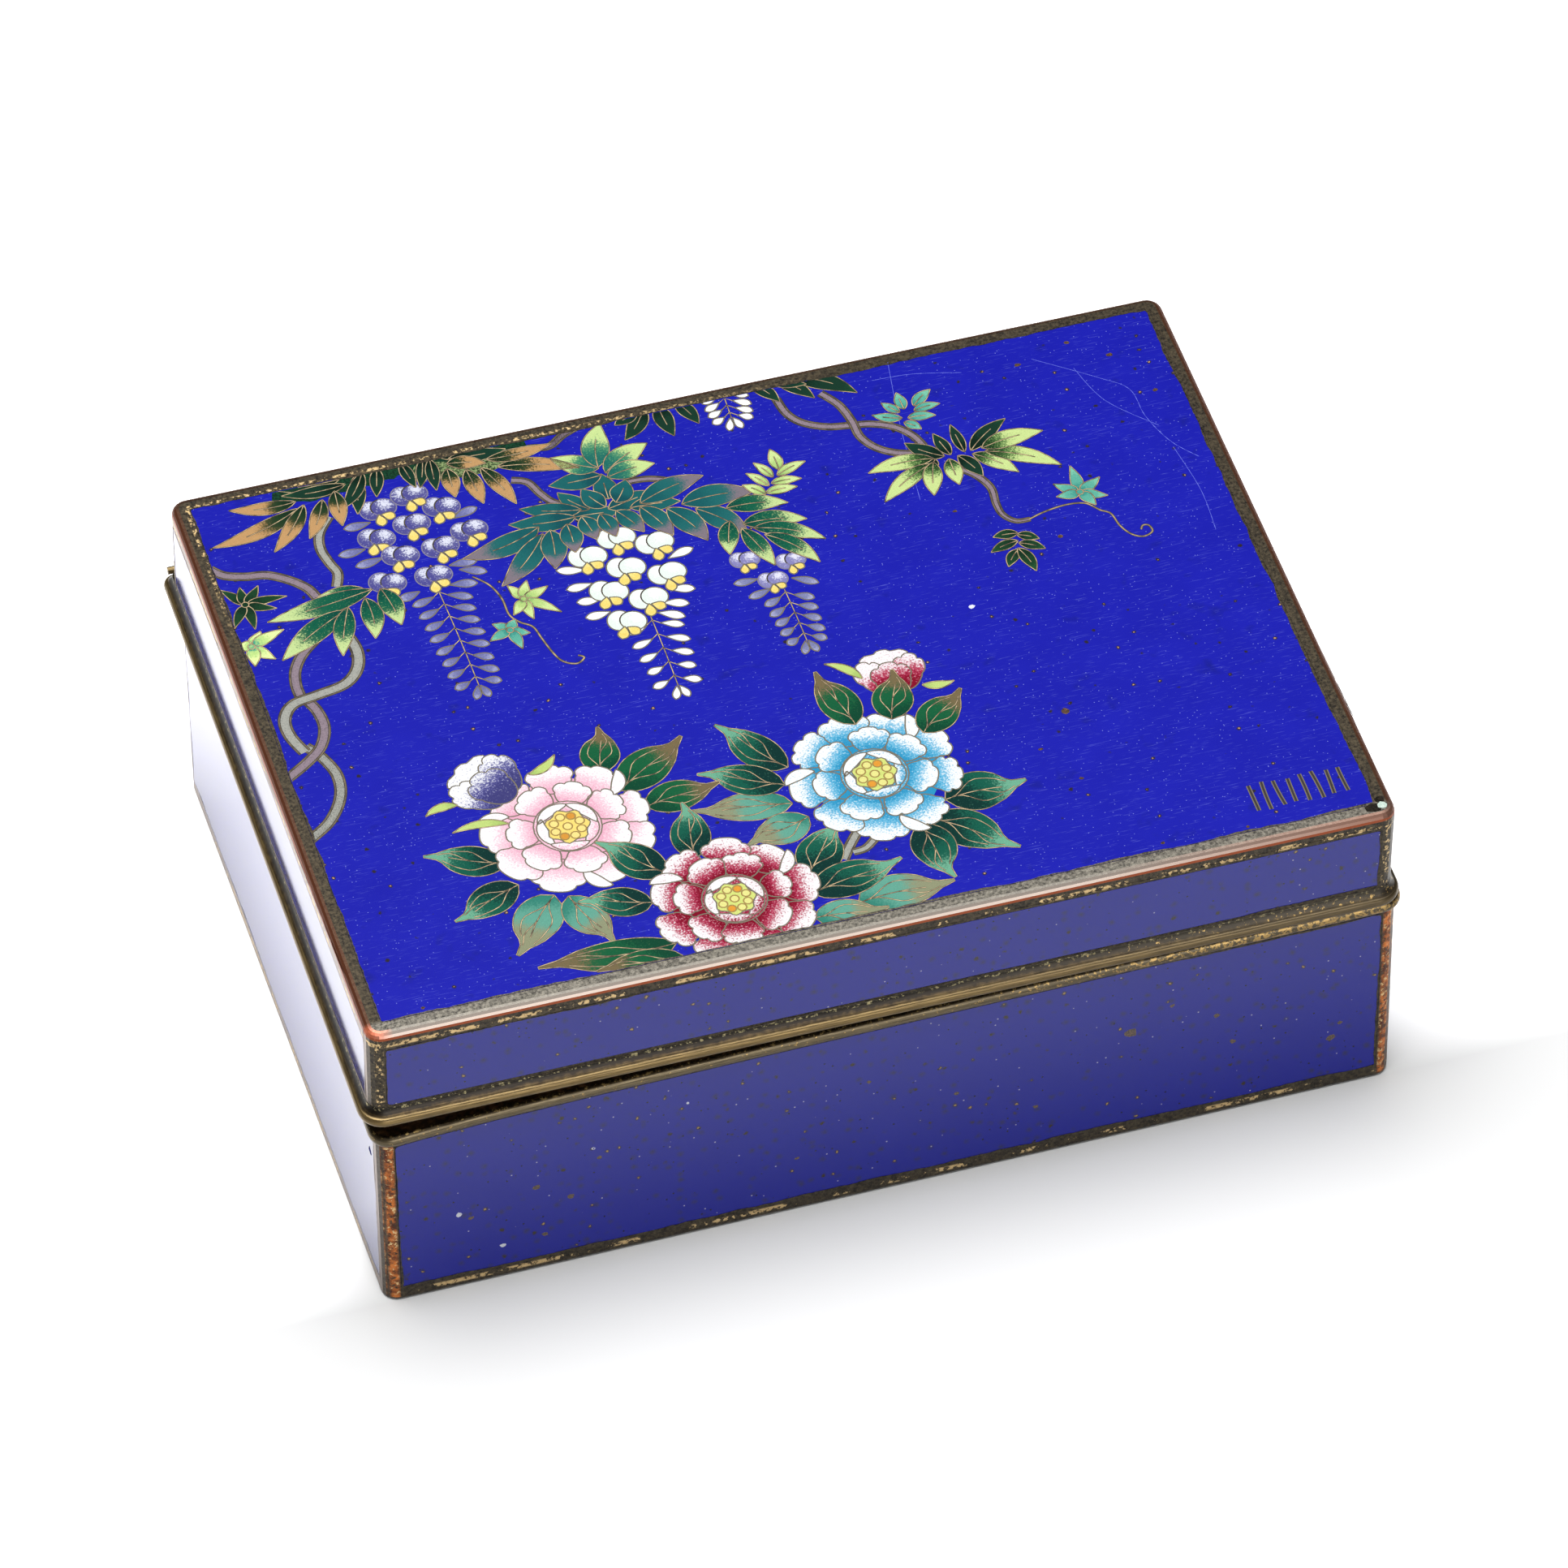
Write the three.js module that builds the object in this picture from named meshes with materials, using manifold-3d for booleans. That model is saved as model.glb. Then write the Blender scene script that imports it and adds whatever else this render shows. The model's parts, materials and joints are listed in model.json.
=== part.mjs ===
// A small hinged table box in cloisonne enamel: a base and a lid of sheet copper, each side a panel of
// cobalt enamel let in flush with its metal border, a moulding round each mouth, a collar inside the
// base's mouth that the lid closes over, and a hinge of tube along the back.
// The frame is in millimetres, +Z up and the front facing -Y, with the origin at the middle of the underside.
// The box is old: the rim of its base has sunk at the front left corner and its lid doesn't close flat.

import * as THREE from "three";
import { mergeVertices } from "three/addons/utils/BufferGeometryUtils.js";
import Module from "manifold-3d";

// The box over its side walls, without the mouldings.
const WIDTH = 127;
const DEPTH = 92;
const BASE_HEIGHT = 30.7;
const LID_HEIGHT = 15;
const CORNER_RADIUS = 2; // of the side walls, seen from above
const LEAST_RADIUS = 0.3; // that a corner keeps further in

// The metal sheet and the enamel let into it.
const WALL = 1.6; // metal and enamel together
const FLOOR = 1.6;
const LID_TOP = 1.6;
const ENAMEL = 0.7; // how deep the enamel is
const ENAMEL_CORNER = 0.6; // radius of a panel's corners
const JOINT = 0.05; // between an enamel panel and the metal round it, and between soldered pieces
const CUT_CLEAR = 1; // how far the cut for a recess runs out of the metal

// The metal borders that frame the enamel.
const SIDE_BORDER = 2.1; // beside each panel, at the box's upright corners
const FOOT_BORDER = 2.1; // under the base's panels
const UNDERSIDE_BORDER = 4;
const TOP_BORDER = 2.2; // round the lid's top
const LID_SHOULDER = 2.5; // above the lid's side panels
const RIM_BORDER = 0.4; // between a side panel and the moulding next to it

// Edges.
const LID_EDGE_RADIUS = 0.9;
const FOOT_EDGE_RADIUS = 0.5;

// The mouldings round the two mouths, and the collar that the lid closes over.
const BASE_RIM_HEIGHT = 1.7;
const BASE_RIM_REACH = 0.7; // how far it stands out from the wall
const LID_RIM_HEIGHT = 2.4;
const LID_RIM_REACH = 1.1;
const LID_NOSE = 0.55; // share of the lid's moulding that its round edge takes; a hollow slope takes the rest
const LID_ROUND = 0.4; // share of its reach that the edge is rounded by
const SLOPE_HOLLOW = 1.6; // the higher, the hollower the slope
const COLLAR_CLEARANCE = 0.9; // between the collar and the inside of the lid's walls
const COLLAR_THICKNESS = 0.7;
const COLLAR_RISE = 3; // above the base's mouth
const COLLAR_DROP = 5; // below it
const MOUTH_GAP = 0.1; // between the two mouldings, where they meet

// How far the old box has gone out of true.
const LIFT_LEFT = 0.75; // the lid's left side over its right side
const LIFT_BACK = 2.55; // the lid's back over its front
const LID_SHIFT = -0.7; // along X
const RIM_LEAN = 0.9; // how far the base's rim sinks evenly towards its front left corner
const RIM_DENT = 1.1; // how much further it sinks close to that corner
const DENT_POWER = 10; // the higher, the closer to the corner the dent keeps

// The hinge.
const KNUCKLE_RADIUS = 1.1;
const HINGE_BORE_RADIUS = 0.65;
const PIN_RADIUS = 0.5;
const PIN_END = 0.9; // how far the pin stands out of the last knuckle
const HINGE_INSET = 0.3; // the hinge's ends from the side walls
const KNUCKLES = 5; // the odd ones are on the base, the even ones on the lid
const KNUCKLE_GAP = 0.3;
const KNUCKLE_CLEARANCE = 0.3; // between a tube or its strap and the lid's moulding
const STRAP = 1.2; // height of the strap that joins a tube to its moulding

// How finely the round stretches are divided.
const CORNER_STEPS = 5;
const SIDE_STEPS = 10;
const EDGE_STEPS = 4;
const TUBE_STEPS = 16;
const SAME_POINT = 1e-4; // points closer than this are one

const COPPER = new THREE.MeshStandardMaterial({ color: 0x5a4a3a, metalness: 0.8, roughness: 0.45 });
const BRASS = new THREE.MeshStandardMaterial({ color: 0x8a7444, metalness: 0.9, roughness: 0.4 });
const COBALT = new THREE.MeshStandardMaterial({ color: 0x1b18b8, metalness: 0, roughness: 0.15 });

const wasm = await Module();
wasm.setup();

function toSolid(geometry) {
  const bare = geometry.index ? geometry.toNonIndexed() : geometry.clone();
  bare.deleteAttribute("normal");
  bare.deleteAttribute("uv");
  const merged = mergeVertices(bare, SAME_POINT);
  return new wasm.Manifold(new wasm.Mesh({
    numProp: 3,
    vertProperties: new Float32Array(merged.attributes.position.array),
    triVerts: new Uint32Array(merged.index.array),
  }));
}

function toGeometry(solid) {
  const mesh = solid.getMesh();
  const geometry = new THREE.BufferGeometry();
  geometry.setAttribute("position", new THREE.BufferAttribute(mesh.vertProperties, 3));
  geometry.setIndex(new THREE.BufferAttribute(mesh.triVerts, 1));
  geometry.computeVertexNormals();
  return geometry;
}

function cut(geometry, cutters) {
  return toGeometry(cutters.reduce((left, cutter) => left.subtract(toSolid(cutter)), toSolid(geometry)));
}

function join(geometries) {
  return toGeometry(geometries.map(toSolid).reduce((sum, next) => sum.add(next)));
}

function named(name, geometry, material) {
  const mesh = new THREE.Mesh(geometry, material);
  mesh.name = name;
  return mesh;
}

// How far the base's rim has sunk at a place on its plan. It is most at the front left corner.
function sinkAt(x, y) {
  const towardsLeft = Math.min(Math.max(0.5 - x / WIDTH, 0), 1);
  const towardsFront = Math.min(Math.max(0.5 - y / DEPTH, 0), 1);
  const nearness = towardsLeft * towardsFront;
  return RIM_LEAN * nearness + RIM_DENT * nearness ** DENT_POWER;
}

// Shares of a side from 0 to 1, closer together towards its ends.
function sideShares() {
  const steps = Array.from({ length: SIDE_STEPS - 1 }, (_, step) => step + 1);
  return steps.map((step) => (1 - Math.cos(Math.PI * step / SIDE_STEPS)) / 2);
}

// A level loop of the box's plan at height z, set in from the walls by inset.
// With sunk it follows the sunken rim.
function planLoop(inset, z, sunk = false) {
  const radius = Math.max(CORNER_RADIUS - inset, LEAST_RADIUS);
  const halfX = WIDTH / 2 - inset;
  const halfY = DEPTH / 2 - inset;
  const corners = [[1, 1], [-1, 1], [-1, -1], [1, -1]];
  const outline = corners.flatMap(([signX, signY], index) =>
    Array.from({ length: CORNER_STEPS + 1 }, (_, step) => {
      const angle = (index + step / CORNER_STEPS) * Math.PI / 2;
      return [
        signX * (halfX - radius) + radius * Math.cos(angle),
        signY * (halfY - radius) + radius * Math.sin(angle),
      ];
    }));
  const loop = [];
  outline.forEach(([x, y], index) => {
    loop.push([x, y]);
    if ((index + 1) % (CORNER_STEPS + 1)) return;
    const [nextX, nextY] = outline[(index + 1) % outline.length];
    sideShares().forEach((share) => loop.push([x + (nextX - x) * share, y + (nextY - y) * share]));
  });
  const outer = inset === 0 ? null : planLoop(0, 0);
  return loop.map(([x, y], index) => {
    const [placeX, placeY] = outer ? outer[index] : [x, y];
    return [x, y, z - (sunk ? sinkAt(placeX, placeY) : 0)];
  });
}

// A closed body through a row of loops. An open row is closed by a flat face at each end,
// and a ring joins its last loop to its first.
function loft(loops, ring = false) {
  const count = loops[0].length;
  const positions = [];
  const triangle = (...corners) => corners.forEach((corner) => positions.push(...corner));
  const cap = (loop, up) => {
    const centre = [0, 0, loop.reduce((sum, point) => sum + point[2], 0) / count];
    loop.forEach((point, index) => {
      const next = loop[(index + 1) % count];
      if (up) triangle(centre, point, next);
      else triangle(centre, next, point);
    });
  };
  const rows = ring ? loops.length : loops.length - 1;
  for (let row = 0; row < rows; row++) {
    const lower = loops[row];
    const upper = loops[(row + 1) % loops.length];
    for (let index = 0; index < count; index++) {
      const next = (index + 1) % count;
      triangle(lower[index], lower[next], upper[next]);
      triangle(lower[index], upper[next], upper[index]);
    }
  }
  if (!ring) {
    cap(loops[0], false);
    cap(loops[loops.length - 1], true);
  }
  const geometry = new THREE.BufferGeometry();
  geometry.setAttribute("position", new THREE.Float32BufferAttribute(positions, 3));
  return geometry;
}

// Loops round a quarter turn between a level face and a wall, from the lower loop to the upper one.
function roundedEdge(radius, z, up) {
  return Array.from({ length: EDGE_STEPS + 1 }, (_, step) => {
    const angle = step / EDGE_STEPS * Math.PI / 2;
    const [inset, drop] = up
      ? [radius * (1 - Math.cos(angle)), radius * (1 - Math.sin(angle))]
      : [radius * (1 - Math.sin(angle)), radius * (1 - Math.cos(angle))];
    return planLoop(inset, up ? z - drop : z + drop);
  });
}

// A panel's outline in its own plane, with its upper edge lowered by droop(across).
// It is wider all round by grow.
function panelShape(width, height, droop = () => 0, grow = 0) {
  const left = -width / 2 - grow;
  const right = width / 2 + grow;
  const foot = -grow;
  const radius = ENAMEL_CORNER + grow;
  const shape = new THREE.Shape();
  const head = (x) => height + grow - droop(x);
  shape.moveTo(left + radius, foot);
  shape.lineTo(right - radius, foot);
  shape.absarc(right - radius, foot + radius, radius, -Math.PI / 2, 0);
  shape.lineTo(right, head(right) - radius);
  shape.absarc(right - radius, head(right) - radius, radius, 0, Math.PI / 2);
  sideShares().forEach((share) => {
    const x = right - radius + (left - right + 2 * radius) * share;
    shape.lineTo(x, head(x));
  });
  shape.absarc(left + radius, head(left) - radius, radius, Math.PI / 2, Math.PI);
  shape.lineTo(left, foot + radius);
  shape.absarc(left + radius, foot + radius, radius, Math.PI, Math.PI * 1.5);
  return shape;
}

function panelGeometry(shape, thickness, matrix) {
  const settings = { depth: thickness, bevelEnabled: false, curveSegments: EDGE_STEPS };
  return new THREE.ExtrudeGeometry(shape, settings).applyMatrix4(matrix);
}

// The four sides: how far each is turned from the front, its width and how far out it lies.
const SIDES = {
  front: { turn: 0, across: WIDTH, reach: DEPTH / 2 },
  right: { turn: Math.PI / 2, across: DEPTH, reach: WIDTH / 2 },
  back: { turn: Math.PI, across: WIDTH, reach: DEPTH / 2 },
  left: { turn: -Math.PI / 2, across: DEPTH, reach: WIDTH / 2 },
};

// Takes a panel drawn level, facing +Z, to its side: upright, its back at a depth behind the wall's face.
function sideMatrix({ turn, reach }, foot, depth) {
  return new THREE.Matrix4().makeRotationZ(turn)
    .multiply(new THREE.Matrix4().makeTranslation(0, -reach + depth, foot))
    .multiply(new THREE.Matrix4().makeRotationX(Math.PI / 2));
}

// The enamel panel of one side and the recess that it lies in.
function sidePanel(side, foot, height, droopOf = () => () => 0) {
  const width = side.across - 2 * SIDE_BORDER;
  const droop = droopOf(side);
  const panel = panelGeometry(panelShape(width, height, droop), ENAMEL, sideMatrix(side, foot, ENAMEL));
  const recessShape = panelShape(width, height, droop, JOINT);
  const recess = panelGeometry(recessShape, ENAMEL + CUT_CLEAR, sideMatrix(side, foot, ENAMEL + JOINT));
  return { panel, recess };
}

// The same for a level panel, with its face at height z, looking up or down.
function levelPanel(border, z, up) {
  const width = WIDTH - 2 * border;
  const height = DEPTH - 2 * border;
  const sign = up ? 1 : -1;
  const place = (back) => new THREE.Matrix4().makeTranslation(0, -sign * height / 2, z - sign * back)
    .multiply(new THREE.Matrix4().makeRotationX(up ? 0 : Math.PI));
  const panel = panelGeometry(panelShape(width, height), ENAMEL, place(ENAMEL));
  const recessShape = panelShape(width, height, () => 0, JOINT);
  const recess = panelGeometry(recessShape, ENAMEL + CUT_CLEAR, place(ENAMEL + JOINT));
  return { panel, recess };
}

// The sunken rim lowers the upper edge of the base's front and left panels.
function baseDroop(side) {
  return (across) => {
    const place = new THREE.Vector3(across, -side.reach, 0);
    place.applyAxisAngle(new THREE.Vector3(0, 0, 1), side.turn);
    return sinkAt(place.x, place.y);
  };
}

function makeBase() {
  const base = new THREE.Group();
  const wallTop = BASE_HEIGHT - BASE_RIM_HEIGHT;
  const tray = loft([
    ...roundedEdge(FOOT_EDGE_RADIUS, 0, false),
    planLoop(0, wallTop, true),
    planLoop(WALL, wallTop, true),
    planLoop(WALL, FLOOR),
  ]);
  const panelHeight = wallTop - RIM_BORDER - FOOT_BORDER;
  const panels = Object.entries(SIDES).map(([name, side]) =>
    [name, sidePanel(side, FOOT_BORDER, panelHeight, baseDroop)]);
  panels.push(["underside", levelPanel(UNDERSIDE_BORDER, 0, false)]);
  base.add(named("base_body", cut(tray, panels.map(([, { recess }]) => recess)), COPPER));
  panels.forEach(([name, { panel }]) => base.add(named(`base_enamel_${name}`, panel, COBALT)));
  base.add(named("base_rim", baseRim(wallTop + JOINT), BRASS));
  base.add(named("base_collar", collar(), BRASS));
  return base;
}

// The base's moulding: a level shelf over the wall, with a round outer edge. It reaches in to the collar.
function baseRim(foot) {
  const shelf = WALL + COLLAR_CLEARANCE - JOINT;
  const height = BASE_HEIGHT - foot;
  const steps = Array.from({ length: EDGE_STEPS * 2 + 1 }, (_, step) => {
    const angle = (step / (EDGE_STEPS * 2) - 0.5) * Math.PI;
    return planLoop(-BASE_RIM_REACH * Math.cos(angle), foot + height * (0.5 + Math.sin(angle) / 2), true);
  });
  return loft([planLoop(shelf, foot, true), ...steps, planLoop(shelf, BASE_HEIGHT, true)], true);
}

function collar() {
  const outer = WALL + COLLAR_CLEARANCE;
  const inner = outer + COLLAR_THICKNESS;
  const foot = BASE_HEIGHT - COLLAR_DROP;
  const head = BASE_HEIGHT + COLLAR_RISE;
  const section = [[inner, foot], [outer, foot], [outer, head], [inner, head]];
  return loft(section.map(([inset, z]) => planLoop(inset, z)), true);
}

// The lid, drawn with its mouth at height 0.
function makeLid() {
  const lid = new THREE.Group();
  const wallFoot = LID_RIM_HEIGHT;
  const shell = loft([
    planLoop(WALL, LID_HEIGHT - LID_TOP),
    planLoop(WALL, wallFoot),
    planLoop(0, wallFoot),
    ...roundedEdge(LID_EDGE_RADIUS, LID_HEIGHT, true),
  ]);
  const panelFoot = wallFoot + RIM_BORDER;
  const panelHeight = LID_HEIGHT - LID_SHOULDER - panelFoot;
  const panels = Object.entries(SIDES).map(([name, side]) => [name, sidePanel(side, panelFoot, panelHeight)]);
  panels.push(["top", levelPanel(TOP_BORDER, LID_HEIGHT, true)]);
  lid.add(named("lid_body", cut(shell, panels.map(([, { recess }]) => recess)), COPPER));
  panels.forEach(([name, { panel }]) => lid.add(named(`lid_enamel_${name}`, panel, COBALT)));
  lid.add(named("lid_rim", lidRim(wallFoot - JOINT), BRASS));
  return lid;
}

// The lid's moulding: a hollow slope under the wall that runs out to a round edge.
function lidRim(head) {
  const nose = head * LID_NOSE;
  const round = Array.from({ length: EDGE_STEPS * 2 + 1 }, (_, step) => {
    const angle = (step / (EDGE_STEPS * 2) - 0.5) * Math.PI;
    const reach = LID_RIM_REACH * (1 - LID_ROUND * (1 - Math.cos(angle)));
    return planLoop(-reach, nose * (0.5 + Math.sin(angle) / 2));
  });
  const slope = Array.from({ length: EDGE_STEPS }, (_, step) => {
    const share = (step + 1) / EDGE_STEPS;
    const reach = LID_RIM_REACH * (1 - LID_ROUND) * (1 - share) ** SLOPE_HOLLOW;
    return planLoop(-reach, nose + (head - nose) * share);
  });
  return loft([planLoop(WALL, 0), ...round, ...slope, planLoop(WALL, head)], true);
}

// Sets the lid over the base's mouth. It touches at the front right corner and stands a little proud
// elsewhere.
function seatLid(lid) {
  const cornerX = WIDTH / 2;
  const cornerY = -DEPTH / 2;
  lid.position.set(-cornerX, -cornerY, 0);
  const seat = new THREE.Group();
  seat.add(lid);
  seat.rotation.set(Math.atan(LIFT_BACK / DEPTH), Math.atan(LIFT_LEFT / WIDTH), 0);
  seat.position.set(cornerX + LID_SHIFT, cornerY, BASE_HEIGHT + MOUTH_GAP);
  return seat;
}

// The hinge's axis lies behind the lid's moulding, level with its round edge.
const AXIS_Y = DEPTH / 2 + LID_RIM_REACH + KNUCKLE_CLEARANCE + KNUCKLE_RADIUS;
const AXIS_Z = BASE_HEIGHT + MOUTH_GAP + LIFT_BACK + (LIFT_LEFT + LID_RIM_HEIGHT * LID_NOSE) / 2;

// A length of tube or rod along X, centred on the hinge's axis.
function roundBar(radius, length, centreX) {
  return new THREE.CylinderGeometry(radius, radius, length, TUBE_STEPS)
    .rotateZ(Math.PI / 2).translate(centreX, AXIS_Y, AXIS_Z);
}

// A block of a knuckle's strap, from one depth and height to another.
function strapBlock(length, centreX, fromY, fromZ, toY, toZ) {
  return new THREE.BoxGeometry(length, toY - fromY, toZ - fromZ)
    .translate(centreX, (fromY + toY) / 2, (fromZ + toZ) / 2);
}

// A base knuckle's strap stands up behind the lid's moulding from the base's one. A lid knuckle's is level.
function strapBlocks(length, centreX, onBase) {
  if (!onBase) {
    const lidFace = DEPTH / 2 + LID_RIM_REACH + JOINT;
    return [strapBlock(length, centreX, lidFace, AXIS_Z - STRAP / 2, AXIS_Y, AXIS_Z + STRAP / 2)];
  }
  const baseFace = DEPTH / 2 + BASE_RIM_REACH + JOINT;
  const clearOfLid = DEPTH / 2 + LID_RIM_REACH + KNUCKLE_CLEARANCE;
  const foot = BASE_HEIGHT - (BASE_RIM_HEIGHT + STRAP) / 2;
  return [
    strapBlock(length, centreX, baseFace, foot, AXIS_Y, foot + STRAP),
    strapBlock(length, centreX, clearOfLid, foot, AXIS_Y, AXIS_Z),
  ];
}

// One knuckle: its tube with the strap that it is soldered to its moulding by.
function knuckle(length, centreX, onBase) {
  const tube = roundBar(KNUCKLE_RADIUS, length, centreX);
  const bore = roundBar(HINGE_BORE_RADIUS, length + KNUCKLE_GAP, centreX);
  return cut(join([tube, ...strapBlocks(length, centreX, onBase)]), [bore]);
}

function makeHinge() {
  const hinge = new THREE.Group();
  const hingeLength = WIDTH - 2 * HINGE_INSET;
  const pitch = hingeLength / KNUCKLES;
  for (let index = 0; index < KNUCKLES; index++) {
    const centreX = (index + 0.5) * pitch - hingeLength / 2;
    const onBase = index % 2 === 0;
    const number = Math.floor(index / 2) + 1;
    const name = `hinge_${onBase ? "base" : "lid"}_knuckle_${number}`;
    hinge.add(named(name, knuckle(pitch - KNUCKLE_GAP, centreX, onBase), BRASS));
  }
  hinge.add(named("hinge_pin", roundBar(PIN_RADIUS, hingeLength + 2 * PIN_END, 0), BRASS));
  return hinge;
}

const box = new THREE.Group();
box.add(makeBase(), seatLid(makeLid()), makeHinge());

export default box;
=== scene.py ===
# A hinged table box in cobalt cloisonne enamel, old and a little worn.
# Its metal and plain enamel come from the frame. This script lays the picture in the lid's top, adds the
# small signs of wear, and gives every surface its finish.
import functools
import json
import math
import random

import bpy
from mathutils import Matrix, Vector


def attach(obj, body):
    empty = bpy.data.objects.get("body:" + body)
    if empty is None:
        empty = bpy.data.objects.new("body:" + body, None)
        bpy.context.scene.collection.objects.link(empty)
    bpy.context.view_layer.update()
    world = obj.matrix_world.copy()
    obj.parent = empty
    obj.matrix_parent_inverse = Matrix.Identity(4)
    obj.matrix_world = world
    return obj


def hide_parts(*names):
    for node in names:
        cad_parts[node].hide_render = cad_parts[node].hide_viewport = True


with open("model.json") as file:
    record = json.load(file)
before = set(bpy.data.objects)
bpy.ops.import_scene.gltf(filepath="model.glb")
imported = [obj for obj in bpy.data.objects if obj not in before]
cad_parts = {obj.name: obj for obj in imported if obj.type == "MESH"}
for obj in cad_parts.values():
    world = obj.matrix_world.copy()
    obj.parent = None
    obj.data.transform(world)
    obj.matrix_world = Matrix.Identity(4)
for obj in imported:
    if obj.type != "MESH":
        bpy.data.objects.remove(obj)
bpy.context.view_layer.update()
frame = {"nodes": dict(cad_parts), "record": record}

MM = 0.001

# The box, in millimetres, as it was before it was bent.
HALF_WIDTH = 63.5
HALF_DEPTH = 46.0
BASE_HEIGHT = 30.7
LID_HEIGHT = 15.0
CORNER_RADIUS = 2.0
BOX_MIDDLE = Vector((0, 0, 25)) * MM

# The mouldings and the dent in the base's rim.
LID_RIM_HEIGHT = 2.35
LID_RIM_REACH = 1.1
LID_NOSE = 0.55
LID_ROUND = 0.4
SLOPE_HOLLOW = 1.6
SLOPE_SHARES = (0.0, 0.12, 0.25, 0.4, 0.55, 0.7, 0.85)
LID_RIM_INNER = -1.5
BASE_RIM_HEIGHT = 1.65
BASE_RIM_REACH = 0.7
BASE_RIM_INNER = -2.4
RIM_LEAN = 0.9
RIM_DENT = 1.1
DENT_POWER = 10
BACK_RADIUS = 0.5
CORNER_STEPS = 8
SIDE_STEPS = 40
ROUND_STEPS = 12

# The picture's field is the lid's top panel, in millimetres from its middle: +X to the right, +Y to the back.
FIELD_HALF_X = 61.2
FIELD_HALF_Y = 43.7

# Heights over the panel. Each piece of the picture lies a level over what it covers, too thin to be seen.
LEVEL = 0.0004
WIRE_LIFT = 1
STEM_LEVEL = 0
PEONY_LEAF_LEVEL = 10
RACEME_LEVEL = 12
FLORET_LEVEL = 18
LEAF_LEVEL = 32
PEONY_LEVEL = 50
FRONT_PEONY_LEVEL = 76
BORDER_LEVEL = 94

# The wires that hold the enamel, in millimetres.
FINE_WIRE = 0.18
STEM_WIRE = 0.34

# The shapes of leaves and petals: the steps along them, and how full, square, hooked or deeply cut they are.
BLADE_STEPS = 14
DROP_STEPS = 9
POINT = 0.03
LEAFLET_FULLNESS = 0.9
PETAL_STEPS = 48
SQUARENESS = 2.2
LOBE_DEPTH = 0.16
HOOK_FROM = 0.86
HOOK_SHARE = 0.11
HOOK_SWAY = 0.022
STALK = 0.85
ACROSS = (-1.0, -0.5, 0.0, 0.5, 1.0)

# A peony's parts, as shares of its radius: the colour under its petals, its bowl and the folds there, the
# wavy field in its middle, and its stamens.
PEONY_GROUND = 0.72
BOWL = 0.375
BOWL_FOLD_REACH = 0.325
BOWL_FOLD_WIDTH = 0.125
HEART = 0.235
HEART_WAVE = 0.022
STAMEN_RING = 0.155
STAMEN = 0.052

# How they are counted and turned.
ROUND_LINE_STEPS = 24
HEART_STEPS = 32
HEART_WAVES = 7
STAMEN_COUNT = 9
BOWL_FOLD_TURN = 0.72

# The row of strokes, in millimetres: the middle of the first one, how many there are, how far apart they
# stand, half their height, and the widths of their dark middles and of their wires.
STROKE_X = 47.6
STROKE_Y = -38.8
STROKE_COUNT = 8
STROKE_STEP = 1.6
STROKE_HALF = 2.1
STROKE_WIDTH = 0.55
STROKE_WIRE = 0.15
STROKE_WIRES_AT = (-0.2, 0.2)

# The tufts over a thicket, in millimetres.
TUFT_SEED = 11
TUFT_REACH = (0.35, 0.95)
TUFT_HALVES = (0.02, 0.11, 0.02)

# The metal's uneven edge: the step between its points and the least that it reaches over the enamel. Then the
# corners of a chip, and the levels of chips and scratches.
BORDER_STEP = 0.55
BORDER_LEAST = 0.03
CHIP_CORNERS = 7
CHIP_LEVEL = 3
SCRATCH_LEVEL = 1

# Half the width of a long scratch, how much that comes and goes, and the least of it.
SCRATCH_HALF = 0.028
SCRATCH_SWELL = 0.022
SCRATCH_LEAST = 0.012

random.seed(7)


# Colours


def hex_colour(code):
    """An sRGB hex value as linear red, green and blue."""
    parts = [int(code[start:start + 2], 16) / 255 for start in (1, 3, 5)]
    return tuple(part / 12.92 if part <= 0.04045 else ((part + 0.055) / 1.055) ** 2.4 for part in parts)


# The studio is lit so brightly that pale enamel burns out. Enamel colours are written as they look under that
# light, and the glass itself is darker by this much.
STUDIO_GAIN = 2.2


def glass(code):
    return tuple(part / STUDIO_GAIN for part in hex_colour(code))


def glasses(*codes):
    return tuple(glass(code) for code in codes)


def leaf_enamel(near, far, tip, far_from, tip_from):
    """A leaf's colours near its stem, further out and at its tip, and where along it the last two begin."""
    return (*glasses(near, far, tip), far_from, tip_from)


FOREST = leaf_enamel("#0b2419", "#16382a", "#1b4a30", 0.3, 0.9)
THICKET = leaf_enamel("#10241a", "#1d3a22", "#98ad74", 0.38, 0.72)
AUTUMN = leaf_enamel("#10281c", "#1e3a22", "#c29866", 0.1, 0.46)
SPRING = leaf_enamel("#0a4a3e", "#125e46", "#c6dc96", 0.2, 0.68)
LIME = leaf_enamel("#86b06a", "#b4d27e", "#cfe59a", 0.1, 0.5)
MOSS = leaf_enamel("#1b3a1f", "#5d8648", "#cbe092", 0.2, 0.42)
TEAL = leaf_enamel("#175a5f", "#1f6768", "#80757f", 0.3, 0.72)
TEAL_DEEP = leaf_enamel("#134f56", "#1b6264", "#1f6a69", 0.3, 0.9)
SPRIG = leaf_enamel("#1f6b62", "#3f8a68", "#c9e094", 0.3, 0.58)
TURQUOISE = leaf_enamel("#3d9488", "#5fb09c", "#7cc4a8", 0.2, 0.7)
NIGHT = leaf_enamel("#12301f", "#1a4027", "#245230", 0.3, 0.8)
SEA = leaf_enamel("#1f9a86", "#bfe088", "#e3f3a6", 0.1, 0.5)
PEONY_LEAF = leaf_enamel("#0a332f", "#135c4a", "#6fae90", 0.4, 0.7)
PALE_LEAF = leaf_enamel("#338272", "#63a592", "#8f9374", 0.2, 0.55)
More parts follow.
